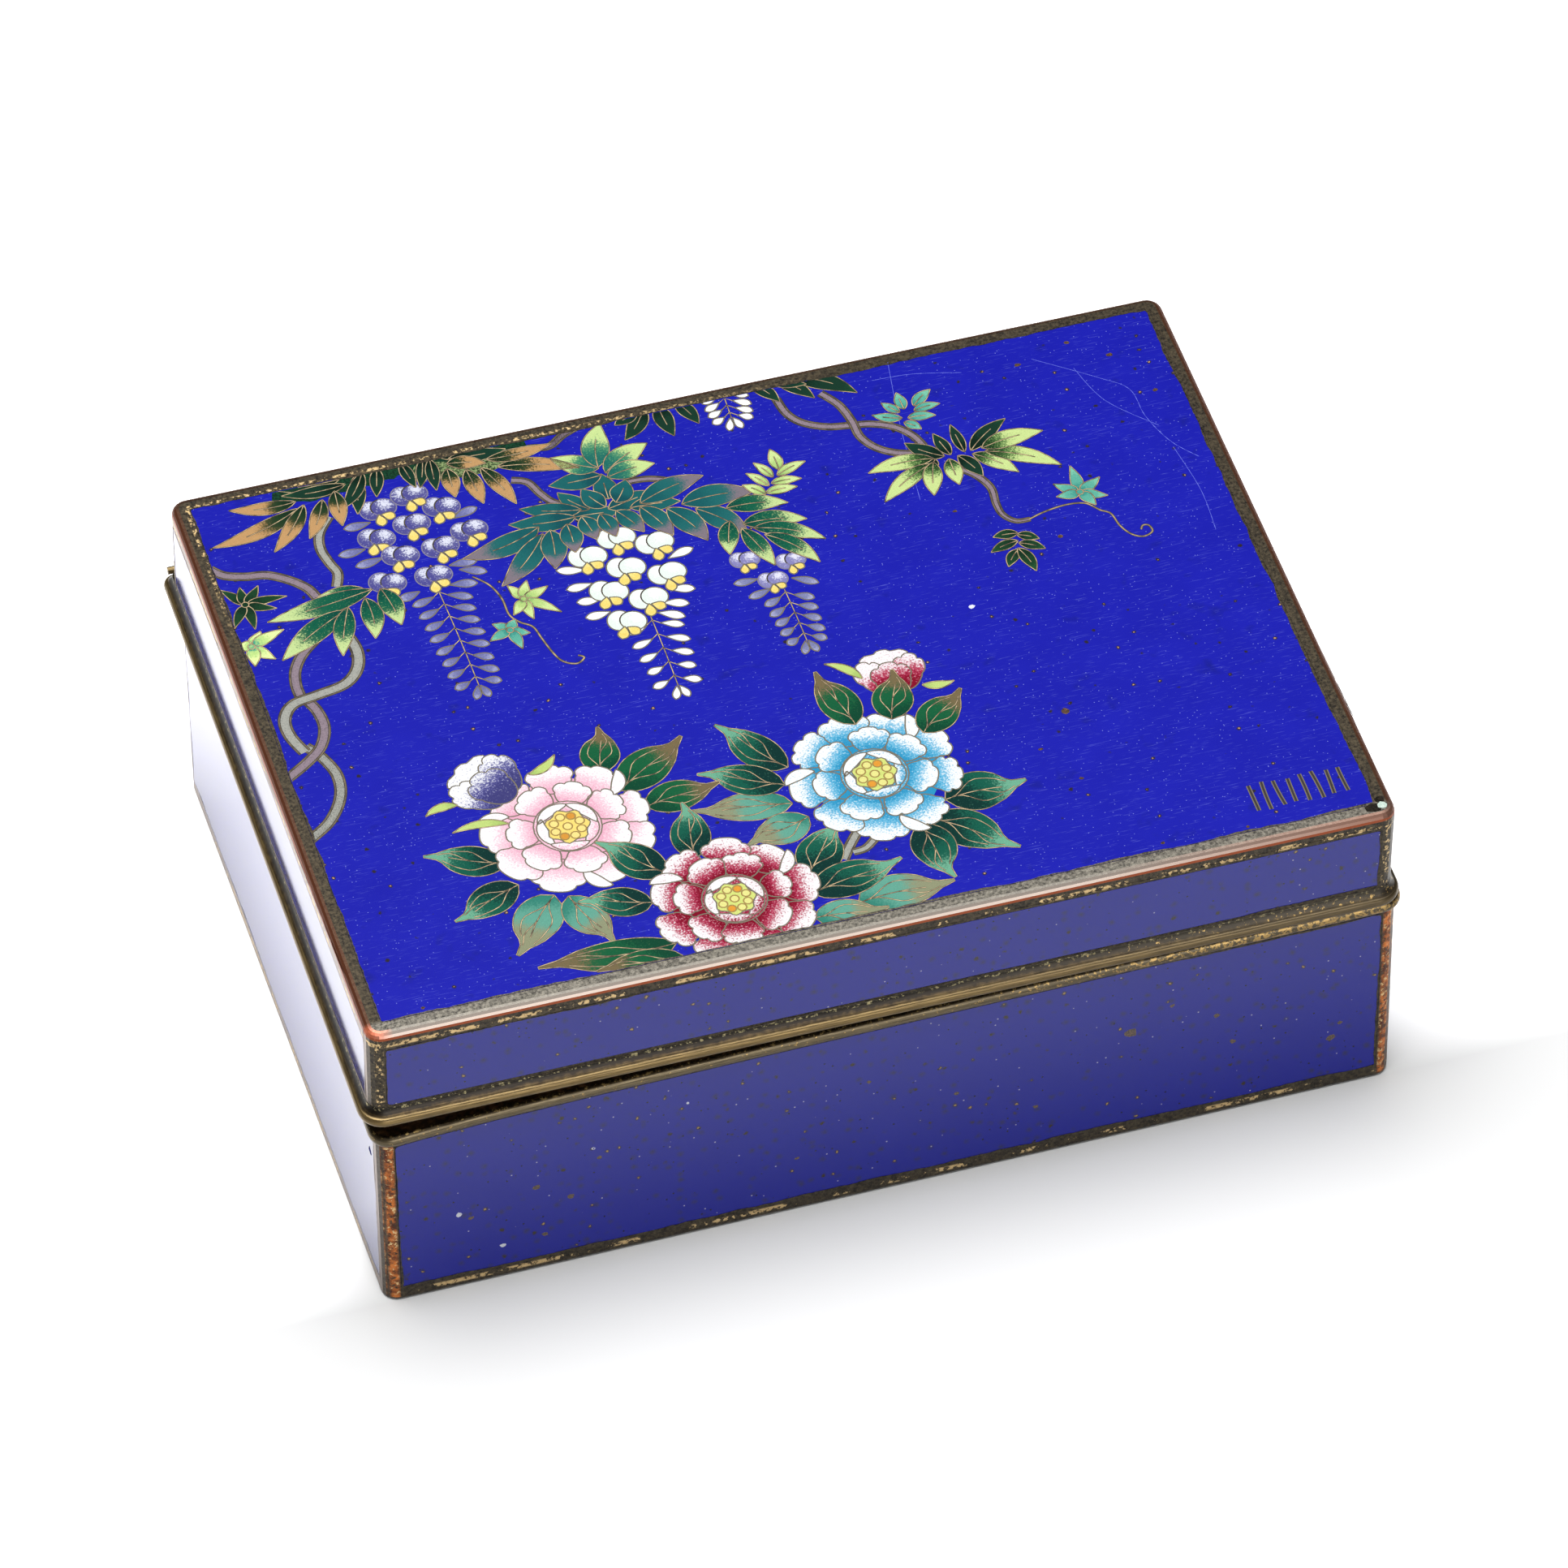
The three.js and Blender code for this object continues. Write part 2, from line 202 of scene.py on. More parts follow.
BRONZE_LEAF = leaf_enamel("#0b4630", "#155f3b", "#77684a", 0.25, 0.66)
SEPAL = leaf_enamel("#a9c46c", "#c0d67c", "#c9da8a", 0.2, 0.8)
WISTERIA_LEAFLET = leaf_enamel("#6c6fa3", "#8386b4", "#9ea2c8", 0.3, 0.8)
WHITE_LEAFLET = leaf_enamel("#eef3f4", "#ffffff", "#ffffff", 0.2, 0.8)
GREY_LEAFLET = leaf_enamel("#757aa6", "#8a8eb6", "#a3a6c8", 0.2, 0.8)
MAUVE_VINE = glass("#94848f")
GREY_VINE = glass("#a9aaa2")
KEEL = leaf_enamel("#f6e18a", "#f0d268", "#f4dc80", 0.2, 0.8)
OUTLINE = glass("#786f5c")
STAMEN_LINE = glass("#a8873a")


# Plane curves, in the picture's millimetres


def along(start, end, share):
    return (start[0] + (end[0] - start[0]) * share, start[1] + (end[1] - start[1]) * share)


def span(start, end):
    return math.hypot(end[0] - start[0], end[1] - start[1])


def smooth_line(points, steps=8):
    """A smooth line through given points."""
    def between(before, start, end, after, t):
        square = 2 * before - 5 * start + 4 * end - after
        cube = 3 * start - before - 3 * end + after
        return 0.5 * (2 * start + (end - before) * t + square * t ** 2 + cube * t ** 3)

    line = []
    padded = [points[0]] + list(points) + [points[-1]]
    for index in range(1, len(padded) - 2):
        for step in range(steps):
            line.append(tuple(between(*four, step / steps) for four in zip(*padded[index - 1:index + 3])))
    line.append(points[-1])
    return line


def bent_line(start, end, bend, steps=BLADE_STEPS):
    """A line that bows to its left by bend, a share of its length."""
    middle = along(start, end, 0.5)
    control = (middle[0] - (end[1] - start[1]) * bend, middle[1] + (end[0] - start[0]) * bend)
    line = []
    for step in range(steps + 1):
        t = step / steps
        line.append(along(along(start, control, t), along(control, end, t), t))
    return line


def sideways(line, index):
    """The unit vector to the left of a line at one of its points."""
    before = line[max(index - 1, 0)]
    after = line[min(index + 1, len(line) - 1)]
    length = max(span(before, after), 1e-6)
    return (-(after[1] - before[1]) / length, (after[0] - before[0]) / length)


def offset_line(line, offsets):
    """The line moved to its left by one offset for each point."""
    moved = []
    for index, (point, offset) in enumerate(zip(line, offsets)):
        side = sideways(line, index)
        moved.append((point[0] + side[0] * offset, point[1] + side[1] * offset))
    return moved


def polar(centre, turn, reach):
    return (centre[0] + reach * math.cos(turn), centre[1] + reach * math.sin(turn))


def circle(centre, radius, steps=16):
    return [polar(centre, math.tau * step / steps, radius) for step in range(steps)]


def turned(centre, turn, x, y):
    """The place x ahead and y to the left of a centre, seen the way it is turned."""
    cos, sin = math.cos(turn), math.sin(turn)
    return (centre[0] + x * cos - y * sin, centre[1] + x * sin + y * cos)


# Sheets of inlay


def add_piece(name, points, faces, layers, material):
    """Puts a mesh into the scene. layers hold three values for each of its points, under their names."""
    mesh = bpy.data.meshes.new(name)
    mesh.from_pydata(points, [], faces)
    for key, rows in layers.items():
        layer = mesh.attributes.new(key, "FLOAT_VECTOR", "POINT")
        layer.data.foreach_set("vector", [part for row in rows for part in row])
    mesh.materials.append(material)
    piece = bpy.data.objects.new(name, mesh)
    bpy.context.scene.collection.objects.link(piece)
    return piece


class Sheet:
    """Gathers one kind of inlay until it becomes one mesh. Points outside the field are drawn in to its
    edge."""

    def __init__(self, half_x=FIELD_HALF_X, half_y=FIELD_HALF_Y):
        self.half_x = half_x
        self.half_y = half_y
        self.points = []
        self.faces = []
        self.values = {"tone_near": [], "tone_far": [], "tone_tip": [], "fade": []}

    def point(self, place, level, tones=None, fade=(0.0, 0.0, 0.0)):
        near, far, tip = tones or ((0, 0, 0),) * 3
        x = min(max(place[0], -self.half_x), self.half_x)
        y = min(max(place[1], -self.half_y), self.half_y)
        self.points.append((x, y, level * LEVEL))
        self.values["tone_near"].append(near)
        self.values["tone_far"].append(far)
        self.values["tone_tip"].append(tip)
        self.values["fade"].append(fade)
        return len(self.points) - 1

    def strip(self, first, second):
        for index in range(len(first) - 1):
            self.faces.append((first[index], first[index + 1], second[index + 1], second[index]))

    def build(self, name, place, material, slot, body):
        points = [place @ (Vector(point) * MM) for point in self.points]
        piece = add_piece(name, points, self.flat_faces(), self.values, material)
        piece.data.validate()
        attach(piece, body)

    def flat_faces(self):
        """The faces that have some area, all facing up."""
        kept = []
        for face in self.faces:
            corners = [self.points[index] for index in face]
            area = sum(a[0] * b[1] - b[0] * a[1] for a, b in zip(corners, corners[1:] + corners[:1])) / 2
            if abs(area) > 1e-5:
                kept.append(face if area > 0 else face[::-1])
        return kept


class Pile:
    """Gives each shape two levels of its own, for its enamel and its wire, so that it lies over those
    before it."""

    def __init__(self):
        self.level = 0

    def start(self, level):
        self.level = level

    def take(self, shapes=1):
        level = self.level
        self.level += 2 * shapes
        return level


pile = Pile()
petals = Sheet()
leaves = Sheet()
stems = Sheet()
wires = Sheet()


def lay_wire(line, level, width, closed=False, dark=0.0, tone=None):
    """A wire along a line. Its fade holds how far across it each point is, how dark it has gone and whether
    it has a tone of its own."""
    if closed:
        line = list(line) + [line[0]]
    rows = []
    tones = (tone,) * 3 if tone else None
    for side in (-1.0, 0.0, 1.0):
        row = offset_line(line, [side * width / 2] * len(line))
        if closed:
            row[-1] = row[0]
        fade = (side, dark, 1.0 if tone else 0.0)
        rows.append([wires.point(place, level + WIRE_LIFT, tones, fade) for place in row])
    wires.strip(rows[0], rows[1])
    wires.strip(rows[1], rows[2])


def lay_disc(sheet, outline, level, tones, fade_of, grain=0.5):
    """Fills a rounded outline with enamel, in rings round its middle. fade_of gives how far a place has
    faded."""
    middle = (sum(x for x, _ in outline) / len(outline), sum(y for _, y in outline) / len(outline))
    rings = []
    for share in (0.0, 0.35, 0.7):
        ring = []
        for place in outline + outline[:1]:
            inner = along(place, middle, share)
            ring.append(sheet.point(inner, level, tones, (*fade_of(inner), grain)))
        rings.append(ring)
    hub = sheet.point(middle, level, tones, (*fade_of(middle), grain))
    for outer, inner in zip(rings, rings[1:]):
        sheet.strip(outer, inner)
    for first, second in zip(rings[-1], rings[-1][1:]):
        sheet.faces.append((first, second, hub))


def lay_blade(sheet, spine, halves, level, tones, fade_of, grain=0.5):
    """Fills a blade with enamel: a spine with half a width at each point. Returns its outline."""
    rows = []
    for across in ACROSS:
        places = offset_line(spine, [half * across for half in halves])
        last = len(places) - 1
        rows.append([sheet.point(place, level, tones, (*fade_of(index / last, across), grain))
                     for index, place in enumerate(places)])
    for first, second in zip(rows, rows[1:]):
        sheet.strip(first, second)
    return offset_line(spine, halves) + offset_line(spine, [-half for half in halves])[::-1]


def ramp(value, start, end):
    share = min(max((value - start) / (end - start), 0.0), 1.0)
    return share * share * (3 - 2 * share)


# Leaves


def leaflet(base, tip, width, bend, enamel, grain=0.7, vein=0.72, dark=0.0, swell=0.82):
    """A pointed leaflet with one vein. A lower swell puts its widest part nearer its base."""
    near, far, tip_tone, far_from, tip_from = enamel
    spine = bent_line(base, tip, bend)
    halves = [width / 2 * math.sin(math.pi * (step / BLADE_STEPS) ** swell) ** LEAFLET_FULLNESS
              for step in range(BLADE_STEPS + 1)]
    halves[0] = halves[-1] = POINT

    def fade_of(s, across):
        return (ramp(s, far_from - 0.2, far_from + 0.3),
                ramp(s + 0.08 * abs(across), tip_from - 0.2, tip_from + 0.2))

    level = pile.take()
    outline = lay_blade(leaves, spine, halves, level, (near, far, tip_tone), fade_of, grain)
    lay_wire(outline, level, FINE_WIRE, closed=True, dark=dark)
    if vein:
        lay_wire(spine[:max(int(BLADE_STEPS * vein), 2)], level, FINE_WIRE, dark=dark)


def peony_leaf(base, tip, width, bend, enamel, grain=0.7):
    """A full leaf with a hooked tip, a middle vein and two long side veins."""
    near, far, tip_tone, far_from, tip_from = enamel
    hook = HOOK_SHARE * width
    halves = []
    for step in range(BLADE_STEPS + 1):
        s = step / BLADE_STEPS
        body = width / 2 * max(math.sin(math.pi * min(s / HOOK_FROM, 1.0) ** 0.9), 0.0) ** 0.64
        tail = hook * (1 - max(s - HOOK_FROM, 0.0) * 5) if s > 0.5 else 0.0
        halves.append(max(body, tail, 0.05))
    turn = 1 if bend >= 0 else -1
    sway = [turn * HOOK_SWAY * width * max(step - 10, 0) ** 1.5 for step in range(BLADE_STEPS + 1)]
    spine = offset_line(bent_line(base, tip, bend), sway)

    def fade_of(s, across):
        return (ramp(s + 0.15 * across, far_from - 0.25, far_from + 0.25),
                ramp(s, tip_from - 0.18, tip_from + 0.18))

    level = pile.take()
    outline = lay_blade(leaves, spine, halves, level, (near, far, tip_tone), fade_of, grain)
    lay_wire(outline, level, FINE_WIRE, closed=True)
    lay_wire(spine[:BLADE_STEPS - 3], level, FINE_WIRE)
    for side, start, end in ((0.62, 1, 11), (-0.62, 2, 10), (-0.5, 6, 12)):
        reach = [side * halves[step] * ramp(step, start, start + 5) for step in range(start, end + 1)]
        lay_wire(offset_line(spine[start:end + 1], reach), level, FINE_WIRE)


def star_leaf(centre, tips, width, enamel):
    """A small leaf of narrow pointed rays round a knot."""
    for number, tip in enumerate(tips):
        bend = 0.06 if number % 2 else -0.06
        leaflet(along(centre, tip, 0.05), tip, 1.2 * width, bend, enamel, grain=0.8, vein=0, swell=0.62)
    knot = circle(centre, 0.45, 10)
    level = pile.take()
    lay_disc(leaves, knot, level, enamel[:3], lambda spot: (0.5, 0.0))
    lay_wire(knot, level, FINE_WIRE, closed=True)


def spray(blades, enamel, grain=0.7, dark=0.0):
    """Leaflets of one enamel, each over the one before. Each is its base, its tip, its width and its bend."""
    for x, y, tip_x, tip_y, width, bend in blades:
        leaflet((x, y), (tip_x, tip_y), width, bend, enamel, grain, dark=dark)


def foliage(blades, enamel, grain=0.7):
    """Peony leaves of one enamel, given in the same way."""
    for x, y, tip_x, tip_y, width, bend in blades:
        peony_leaf((x, y), (tip_x, tip_y), width, bend, enamel, grain)


# Stems


def vine(points, width, tone, taper=1.0):
    """A stem of grey enamel between two wires. taper is its width at the end as a share of that at the
    start."""
    spine = smooth_line(points)
    last = len(spine) - 1
    halves = [width / 2 * (1 + (taper - 1) * index / last) for index in range(last + 1)]
    darker = tuple(part * 0.7 for part in tone)
    level = pile.take()
    lay_blade(stems, spine, halves, level, (tone, darker, darker),
              lambda s, across: (0.25 + 0.3 * abs(across), 0.0), 0.9)
    for edge in (halves, [-half for half in halves]):
        lay_wire(offset_line(spine, edge), level, STEM_WIRE, dark=0.75)


def tendril(points):
    lay_wire(smooth_line(points), pile.take(), STEM_WIRE, dark=0.3)


# Wisteria


# The two petals of a floret: where each lies, its half sizes, its tilt and its height over the first.
FLORET_PETALS = ((-0.95, -0.25, 1.4, 1.6, 0.0, 0), (0.72, 0.08, 1.6, 1.48, -0.45, 2))
FLORET_KEEL = (((-0.3, -1.2), (-0.55, -3.2)), ((0.0, -1.3), (1.45, -2.3)))


def floret(centre, turn, size, tones, rim, level):
    """A wisteria flower: a round petal and a wide one over it, white above, with a dark seam between them,
    over a keel of two yellow drops."""
    def place(x, y, tilt=0.0):
        return turned(centre, turn + tilt, size * x, size * y)

    ring = circle((0, 0), 1, PETAL_STEPS // 2)
    for ahead, up, wide, tall, tilt, height in FLORET_PETALS:
        outline = [place(ahead + wide * x, up + tall * y, tilt) for x, y in ring]
        glow = place(ahead, up + 0.7, tilt)
        lay_disc(petals, outline, level + height, tones,
                 lambda spot: (ramp(span(spot, glow), 0.0, 1.5 * size), 0.0), 1.0)
        lay_wire(outline, level + height, FINE_WIRE, closed=True, tone=rim)
        if height:
            seam = outline[PETAL_STEPS // 6:PETAL_STEPS // 3]
            lay_wire(seam, level + height + 1, FINE_WIRE, dark=0.9)
    for foot, tip in FLORET_KEEL:
        drop(place(*foot), place(*tip), KEEL, level + 4, 1.35 * size)


def florets(spots, size, tones, rim):
    """The flowers of a raceme from its top down, each given by its place and its turn."""
    for number, (x, y, turn) in enumerate(spots):
        floret((x, y), turn, size, tones, rim, FLORET_LEVEL + 6 * (number % 2))


def drop(base, tip, enamel, level, width=1.15):
    """A drop-shaped leaflet, narrow at its base and round at its end."""
    spine = bent_line(base, tip, 0.05, DROP_STEPS)
    halves = [width / 2 * math.sin(math.pi * (step / DROP_STEPS) ** 1.45) ** 0.65
              for step in range(1, DROP_STEPS)]
    halves = [POINT, *halves, POINT]
    outline = lay_blade(petals, spine, halves, level, enamel[:3],
                        lambda s, across: (s, ramp(s, 0.5, 1.0)), 0.7)
    lay_wire(outline, level, FINE_WIRE, closed=True, tone=OUTLINE)


def drops(blades, enamel, width):
    """The drops beside a raceme, each given by its base and its tip."""
    for x, y, tip_x, tip_y in blades:
        drop((x, y), (tip_x, tip_y), enamel, RACEME_LEVEL + 2, width)


def tail(top, foot, pairs, reach, enamel):
    """The end of a raceme: drops in pairs on thin stalks down a stem, smaller towards its foot."""
    lay_wire(bent_line(top, foot, 0.01), RACEME_LEVEL, FINE_WIRE)
    for pair in range(pairs):
        share = (pair + 0.25) / pairs
        base = along(top, foot, share)
        size = (1 - 0.3 * share) * random.uniform(0.93, 1.05)
        for side, lower in ((-1, 0.0), (1, 0.35)):
            joint = (base[0] + side * STALK, base[1] - 0.65 - lower * 0.3)
            lay_wire([base, joint], RACEME_LEVEL, FINE_WIRE)
            droop = (1 + lower) * size * random.uniform(0.8, 1.1)
            tip = (joint[0] + side * (reach - STALK) * size, joint[1] - droop)
            drop(joint, tip, enamel, RACEME_LEVEL + 2)
    for side in (-0.9, 0.8):
        drop((foot[0] + side * 0.2, foot[1]), (foot[0] + side, foot[1] - 2.1), enamel, RACEME_LEVEL + 2, 1.0)


# Peonies


def petal_outline(centre, direction, length, width, lobes):
    """A full petal whose outer edge is cut into lobes."""
    outline = []
    for ahead, aside in circle((0, 0), 1, PETAL_STEPS):
        fullness = (abs(ahead) ** SQUARENESS + abs(aside) ** SQUARENESS) ** (-1 / SQUARENESS)
        cut = abs(math.cos(lobes * math.atan2(aside, ahead))) * ramp(ahead, -0.3, 0.3)
        reach = fullness * (1 - LOBE_DEPTH * (1 - cut) ** 2)
        x = length / 2 * ahead * reach
        y = width / 2 * aside * reach * (1 + 0.1 * ahead)
        outline.append(turned(centre, direction, x, y))
    return outline


def peony_petal(centre, direction, length, width, tones, level, lobes=4, fade_from=0.2, fade_to=0.85):
    """A petal deep in colour at its foot and white at its edge."""
    def fade_of(spot):
        away = (spot[0] - centre[0], spot[1] - centre[1])
        share = (away[0] * math.cos(direction) + away[1] * math.sin(direction)) / length + 0.5
        return (1 - ramp(share, fade_from, fade_to), 1 - ramp(share, fade_from - 0.2, fade_to - 0.3))

    outline = petal_outline(centre, direction, length, width, lobes)
    lay_disc(petals, outline, level, tones, fade_of, 1.0)
    lay_wire(outline, level, FINE_WIRE, closed=True, tone=OUTLINE)


def fold(start, end, bend, width, tones, level, tint=0.0):
    """The white underside of a petal that turns over, a crescent between two points."""
    spine = bent_line(start, end, bend)
    halves = [width / 2 * math.sin(math.pi * step / BLADE_STEPS) ** 0.7 + 0.02
              for step in range(BLADE_STEPS + 1)]
    outline = lay_blade(petals, spine, halves, level, tones,
                        lambda s, across: (tint * (0.6 - 0.4 * across), tint * 0.3 * (1 - across)), 1.0)
    lay_wire(outline, level, FINE_WIRE, closed=True, tone=OUTLINE)


# The two rounds of a peony: how many petals, how far out, their length and width as shares of its radius,
# and how many heights they lie at.
PEONY_ROUNDS = ((9, 0.72, 0.50, 0.58, 3), (7, 0.49, 0.42, 0.47, 4))
# The folds in its bowl: which way each lies, how far out and how deep in colour.
BOWL_FOLDS = ((1.9, 1.0, 0.0), (0.5, 1.0, 0.2), (5.7, 0.95, 0.9), (4.4, 1.0, 0.8), (3.1, 0.95, 0.1))


def peony(centre, radius, turn, tones, heart, fade_to):
    """An open peony: two rounds of petals, some turned over, then a bowl and its stamens."""
    level = pile.take()
    ground = circle(centre, radius * PEONY_GROUND, ROUND_LINE_STEPS)
    lay_disc(petals, ground, level, tones, lambda spot: (1.0, 1.0), 0.3)
    level = pile.take(3)
    for count, reach, length, width, heights in PEONY_ROUNDS:
        for number in range(count):
            direction = math.tau * (number + 0.4 * (count - 9)) / count + turn + random.uniform(-0.07, 0.07)
            size = radius * random.uniform(0.93, 1.07)
            spot = polar(centre, direction, radius * reach * random.uniform(0.96, 1.04))
            height = level + 2 * (number % heights)
            tilt = direction + random.uniform(-0.2, 0.2)
            lobes = random.choice((2, 3, 3, 4))
            peony_petal(spot, tilt, length * size, width * size, tones, height, lobes, 0.35, fade_to)
            if heights == 3 and number % 3 == 1:
                start = polar(spot, direction - 2.0, radius * 0.26)
                end = polar(spot, direction - 0.45, radius * 0.29)
                fold(start, end, -0.3, radius * 0.15, tones, level + 6)
        level = pile.take(4)
    peony_bowl(centre, radius, turn, tones, level)
    stamens(centre, radius, heart, level + 6)


def peony_bowl(centre, radius, turn, tones, level):
    """The round of small petals that stands in the middle, their undersides folded in over its edge."""
    bowl = circle(centre, radius * BOWL, ROUND_LINE_STEPS)
    lay_disc(petals, bowl, level, tones, lambda spot: (0.9, 0.4), 1.0)
    lay_wire(bowl, level, FINE_WIRE, closed=True, tone=OUTLINE)
    for number, (way, reach, tint) in enumerate(BOWL_FOLDS):
        start, end = (polar(centre, way + turn + side * BOWL_FOLD_TURN, radius * BOWL_FOLD_REACH * reach)
                      for side in (-1, 1))
        fold(start, end, -0.24, radius * BOWL_FOLD_WIDTH, tones, level + 2 + 2 * (number % 2), tint)


def stamens(centre, radius, heart, level):
    """Round stamens on a field with a wavy edge, two of them orange."""
    field, grain_tone, orange = heart
    turns = [math.tau * step / HEART_STEPS for step in range(HEART_STEPS)]
    edge = [polar(centre, way, radius * (HEART + HEART_WAVE * math.cos(HEART_WAVES * way))) for way in turns]
    lay_disc(petals, edge, level, (field, grain_tone, grain_tone), lambda spot: (0.3, 0.0), 0.6)
    lay_wire(edge, level, FINE_WIRE, closed=True, tone=OUTLINE)
    level = pile.take()
    for number in range(STAMEN_COUNT):
        way = math.tau * number / (STAMEN_COUNT - 1) + 0.3
        spot = polar(centre, way, radius * STAMEN_RING) if number else centre
        stamen = circle(spot, radius * STAMEN, 12)
        lay_disc(petals, stamen, level, (grain_tone, orange, orange),
                 lambda place: (0.9 * (number % 4 == 1), 0.0), 0.3)
        lay_wire(stamen, level, FINE_WIRE, closed=True, tone=STAMEN_LINE)


# The petals of a bud, from the lowest: where each lies, its tilt, its length and width, all for a bud of
# radius 1, its lobes, and where its colour starts and ends.
BUD_PETALS = (
    (0.1, 0.0, 0.0, 1.9, 1.9, 5, -0.8, -0.4),
    (-0.05, 0.5, 0.35, 1.6, 1.0, 3, 0.25, 0.85),
    (-0.05, -0.5, -0.35, 1.6, 1.0, 3, 0.45, 1.05),
    (-0.2, 0.0, 0.0, 1.45, 1.25, 3, 0.5, 1.15),
)


def bud(centre, radius, turn, tones):
    """A closed peony: white outer petals round deep ones. turn is the way its tip points."""
    for ahead, aside, tilt, length, width, lobes, fade_from, fade_to in BUD_PETALS:
        spot = turned(centre, turn, radius * ahead, radius * aside)
        peony_petal(spot, turn + tilt, radius * length, radius * width, tones, pile.take(), lobes, fade_from,
                    fade_to)


# The picture


def left_trunk():
    pile.start(STEM_LEVEL)
    vine([(-61.6, -13.4), (-58.6, -11.2), (-56.4, -7.8), (-55.8, -4.2), (-56.8, -0.8),
          (-58.2, 1.4)], 1.25, GREY_VINE)
    vine([(-61.8, -3.2), (-58.7, -1.2), (-56.4, 0.9), (-55.2, 3.8), (-55.3, 6.6),
          (-56.0, 8.6)], 1.25, MAUVE_VINE)
    vine([(-56.6, 9.6), (-56.6, 11.6), (-56.0, 14.0), (-54.4, 16.4), (-51.6, 18.8)], 1.2, MAUVE_VINE)
    vine([(-58.5, 0.5), (-59.5, 3.6), (-59.4, 6.4), (-57.8, 8.5), (-54.6, 9.2), (-51.0, 10.0),
          (-48.9, 12.0), (-48.1, 15.0), (-48.7, 18.6)], 1.35, GREY_VINE)
    vine([(-61.6, 33.2), (-60.2, 31.7), (-57.8, 30.8), (-55.2, 30.3), (-52.8, 28.7), (-51.1, 26.8),
          (-50.4, 25.0)], 1.15, MAUVE_VINE)
    vine([(-45.4, 37.8), (-47.2, 35.4), (-47.8, 32.8), (-47.4, 30.2), (-46.9, 28.2),
          (-47.6, 26.0)], 1.1, GREY_VINE)


def branches():
    pile.start(STEM_LEVEL)
    vine([(-22.6, 42.0), (-18.8, 42.2), (-16.4, 41.8), (-14.2, 43.2), (-11.4, 44.4)], 0.9, MAUVE_VINE)
    vine([(-22.4, 37.5), (-20.6, 36.6), (-19.6, 34.2), (-18.4, 32.3), (-16.0, 30.8)], 0.9, MAUVE_VINE)
    vine([(-9.0, 33.2), (-6.4, 33.0), (-4.0, 32.0), (-2.6, 30.6)], 0.8, MAUVE_VINE)
    vine([(12.7, 41.8), (13.2, 39.0), (14.6, 36.9), (17.2, 35.4), (20.0, 34.8), (22.6, 34.3), (25.2, 33.0),
          (26.9, 31.0), (27.7, 28.8)], 0.95, MAUVE_VINE)
    vine([(18.2, 41.2), (19.8, 38.6), (20.5, 35.5), (20.7, 32.6), (22.0, 30.2), (24.2, 28.6),
          (27.2, 27.6)], 0.95, MAUVE_VINE)
    vine([(30.6, 24.0), (32.3, 22.2), (33.4, 19.6), (33.2, 16.8), (33.4, 14.8), (34.6, 13.3),
          (36.4, 13.1)], 1.0, MAUVE_VINE, 0.5)
    tendril([(36.2, 13.1), (38.4, 13.8), (41.2, 14.2), (43.6, 13.8), (45.0, 12.2), (46.1, 11.2),
             (46.5, 9.0), (47.4, 7.2), (48.7, 6.4), (50.0, 6.9), (49.9, 8.0), (49.2, 8.2), (48.8, 7.6)])
    tendril([(-31.4, 23.0), (-29.8, 21.0), (-29.0, 18.4), (-28.9, 15.6), (-28.0, 14.0), (-26.7, 12.8),
             (-26.2, 10.6), (-25.6, 8.0), (-24.8, 6.2), (-23.3, 5.4), (-22.2, 6.1), (-22.8, 6.7)])
    vine([(-2.0, -34.4), (-0.6, -32.4), (1.2, -30.2)], 1.1, GREY_VINE)
    vine([(-0.6, -33.6), (1.0, -33.4), (2.6, -32.2)], 0.9, GREY_VINE)


def thicket(spine, width, enamel, tufts):
    """A dense mass of small leaves: mottled colour with a ragged lower edge and short bright tufts over
    it."""
    line = smooth_line(spine)
    halves = [width / 2 * random.uniform(0.75, 1.1) for _ in line]
    lay_blade(leaves, line, halves, pile.take(), enamel[:3], lambda s, across: (0.5, 0.45), 1.0)
    scatter = random.Random(TUFT_SEED)
    level = pile.take()
    for _ in range(tufts):
        place = scatter.choice(line)
        root = (place[0] + scatter.uniform(-0.9, 0.9), place[1] + scatter.uniform(-0.46, 0.46) * width)
        reach, angle = scatter.uniform(*TUFT_REACH), scatter.uniform(-math.pi, 0.0)
        tip = polar(root, angle, reach)
        share = scatter.random()
        lay_blade(leaves, [root, along(root, tip, 0.5), tip], TUFT_HALVES, level, enamel[:3],
                  lambda s, across: (1.0, share), 1.0)


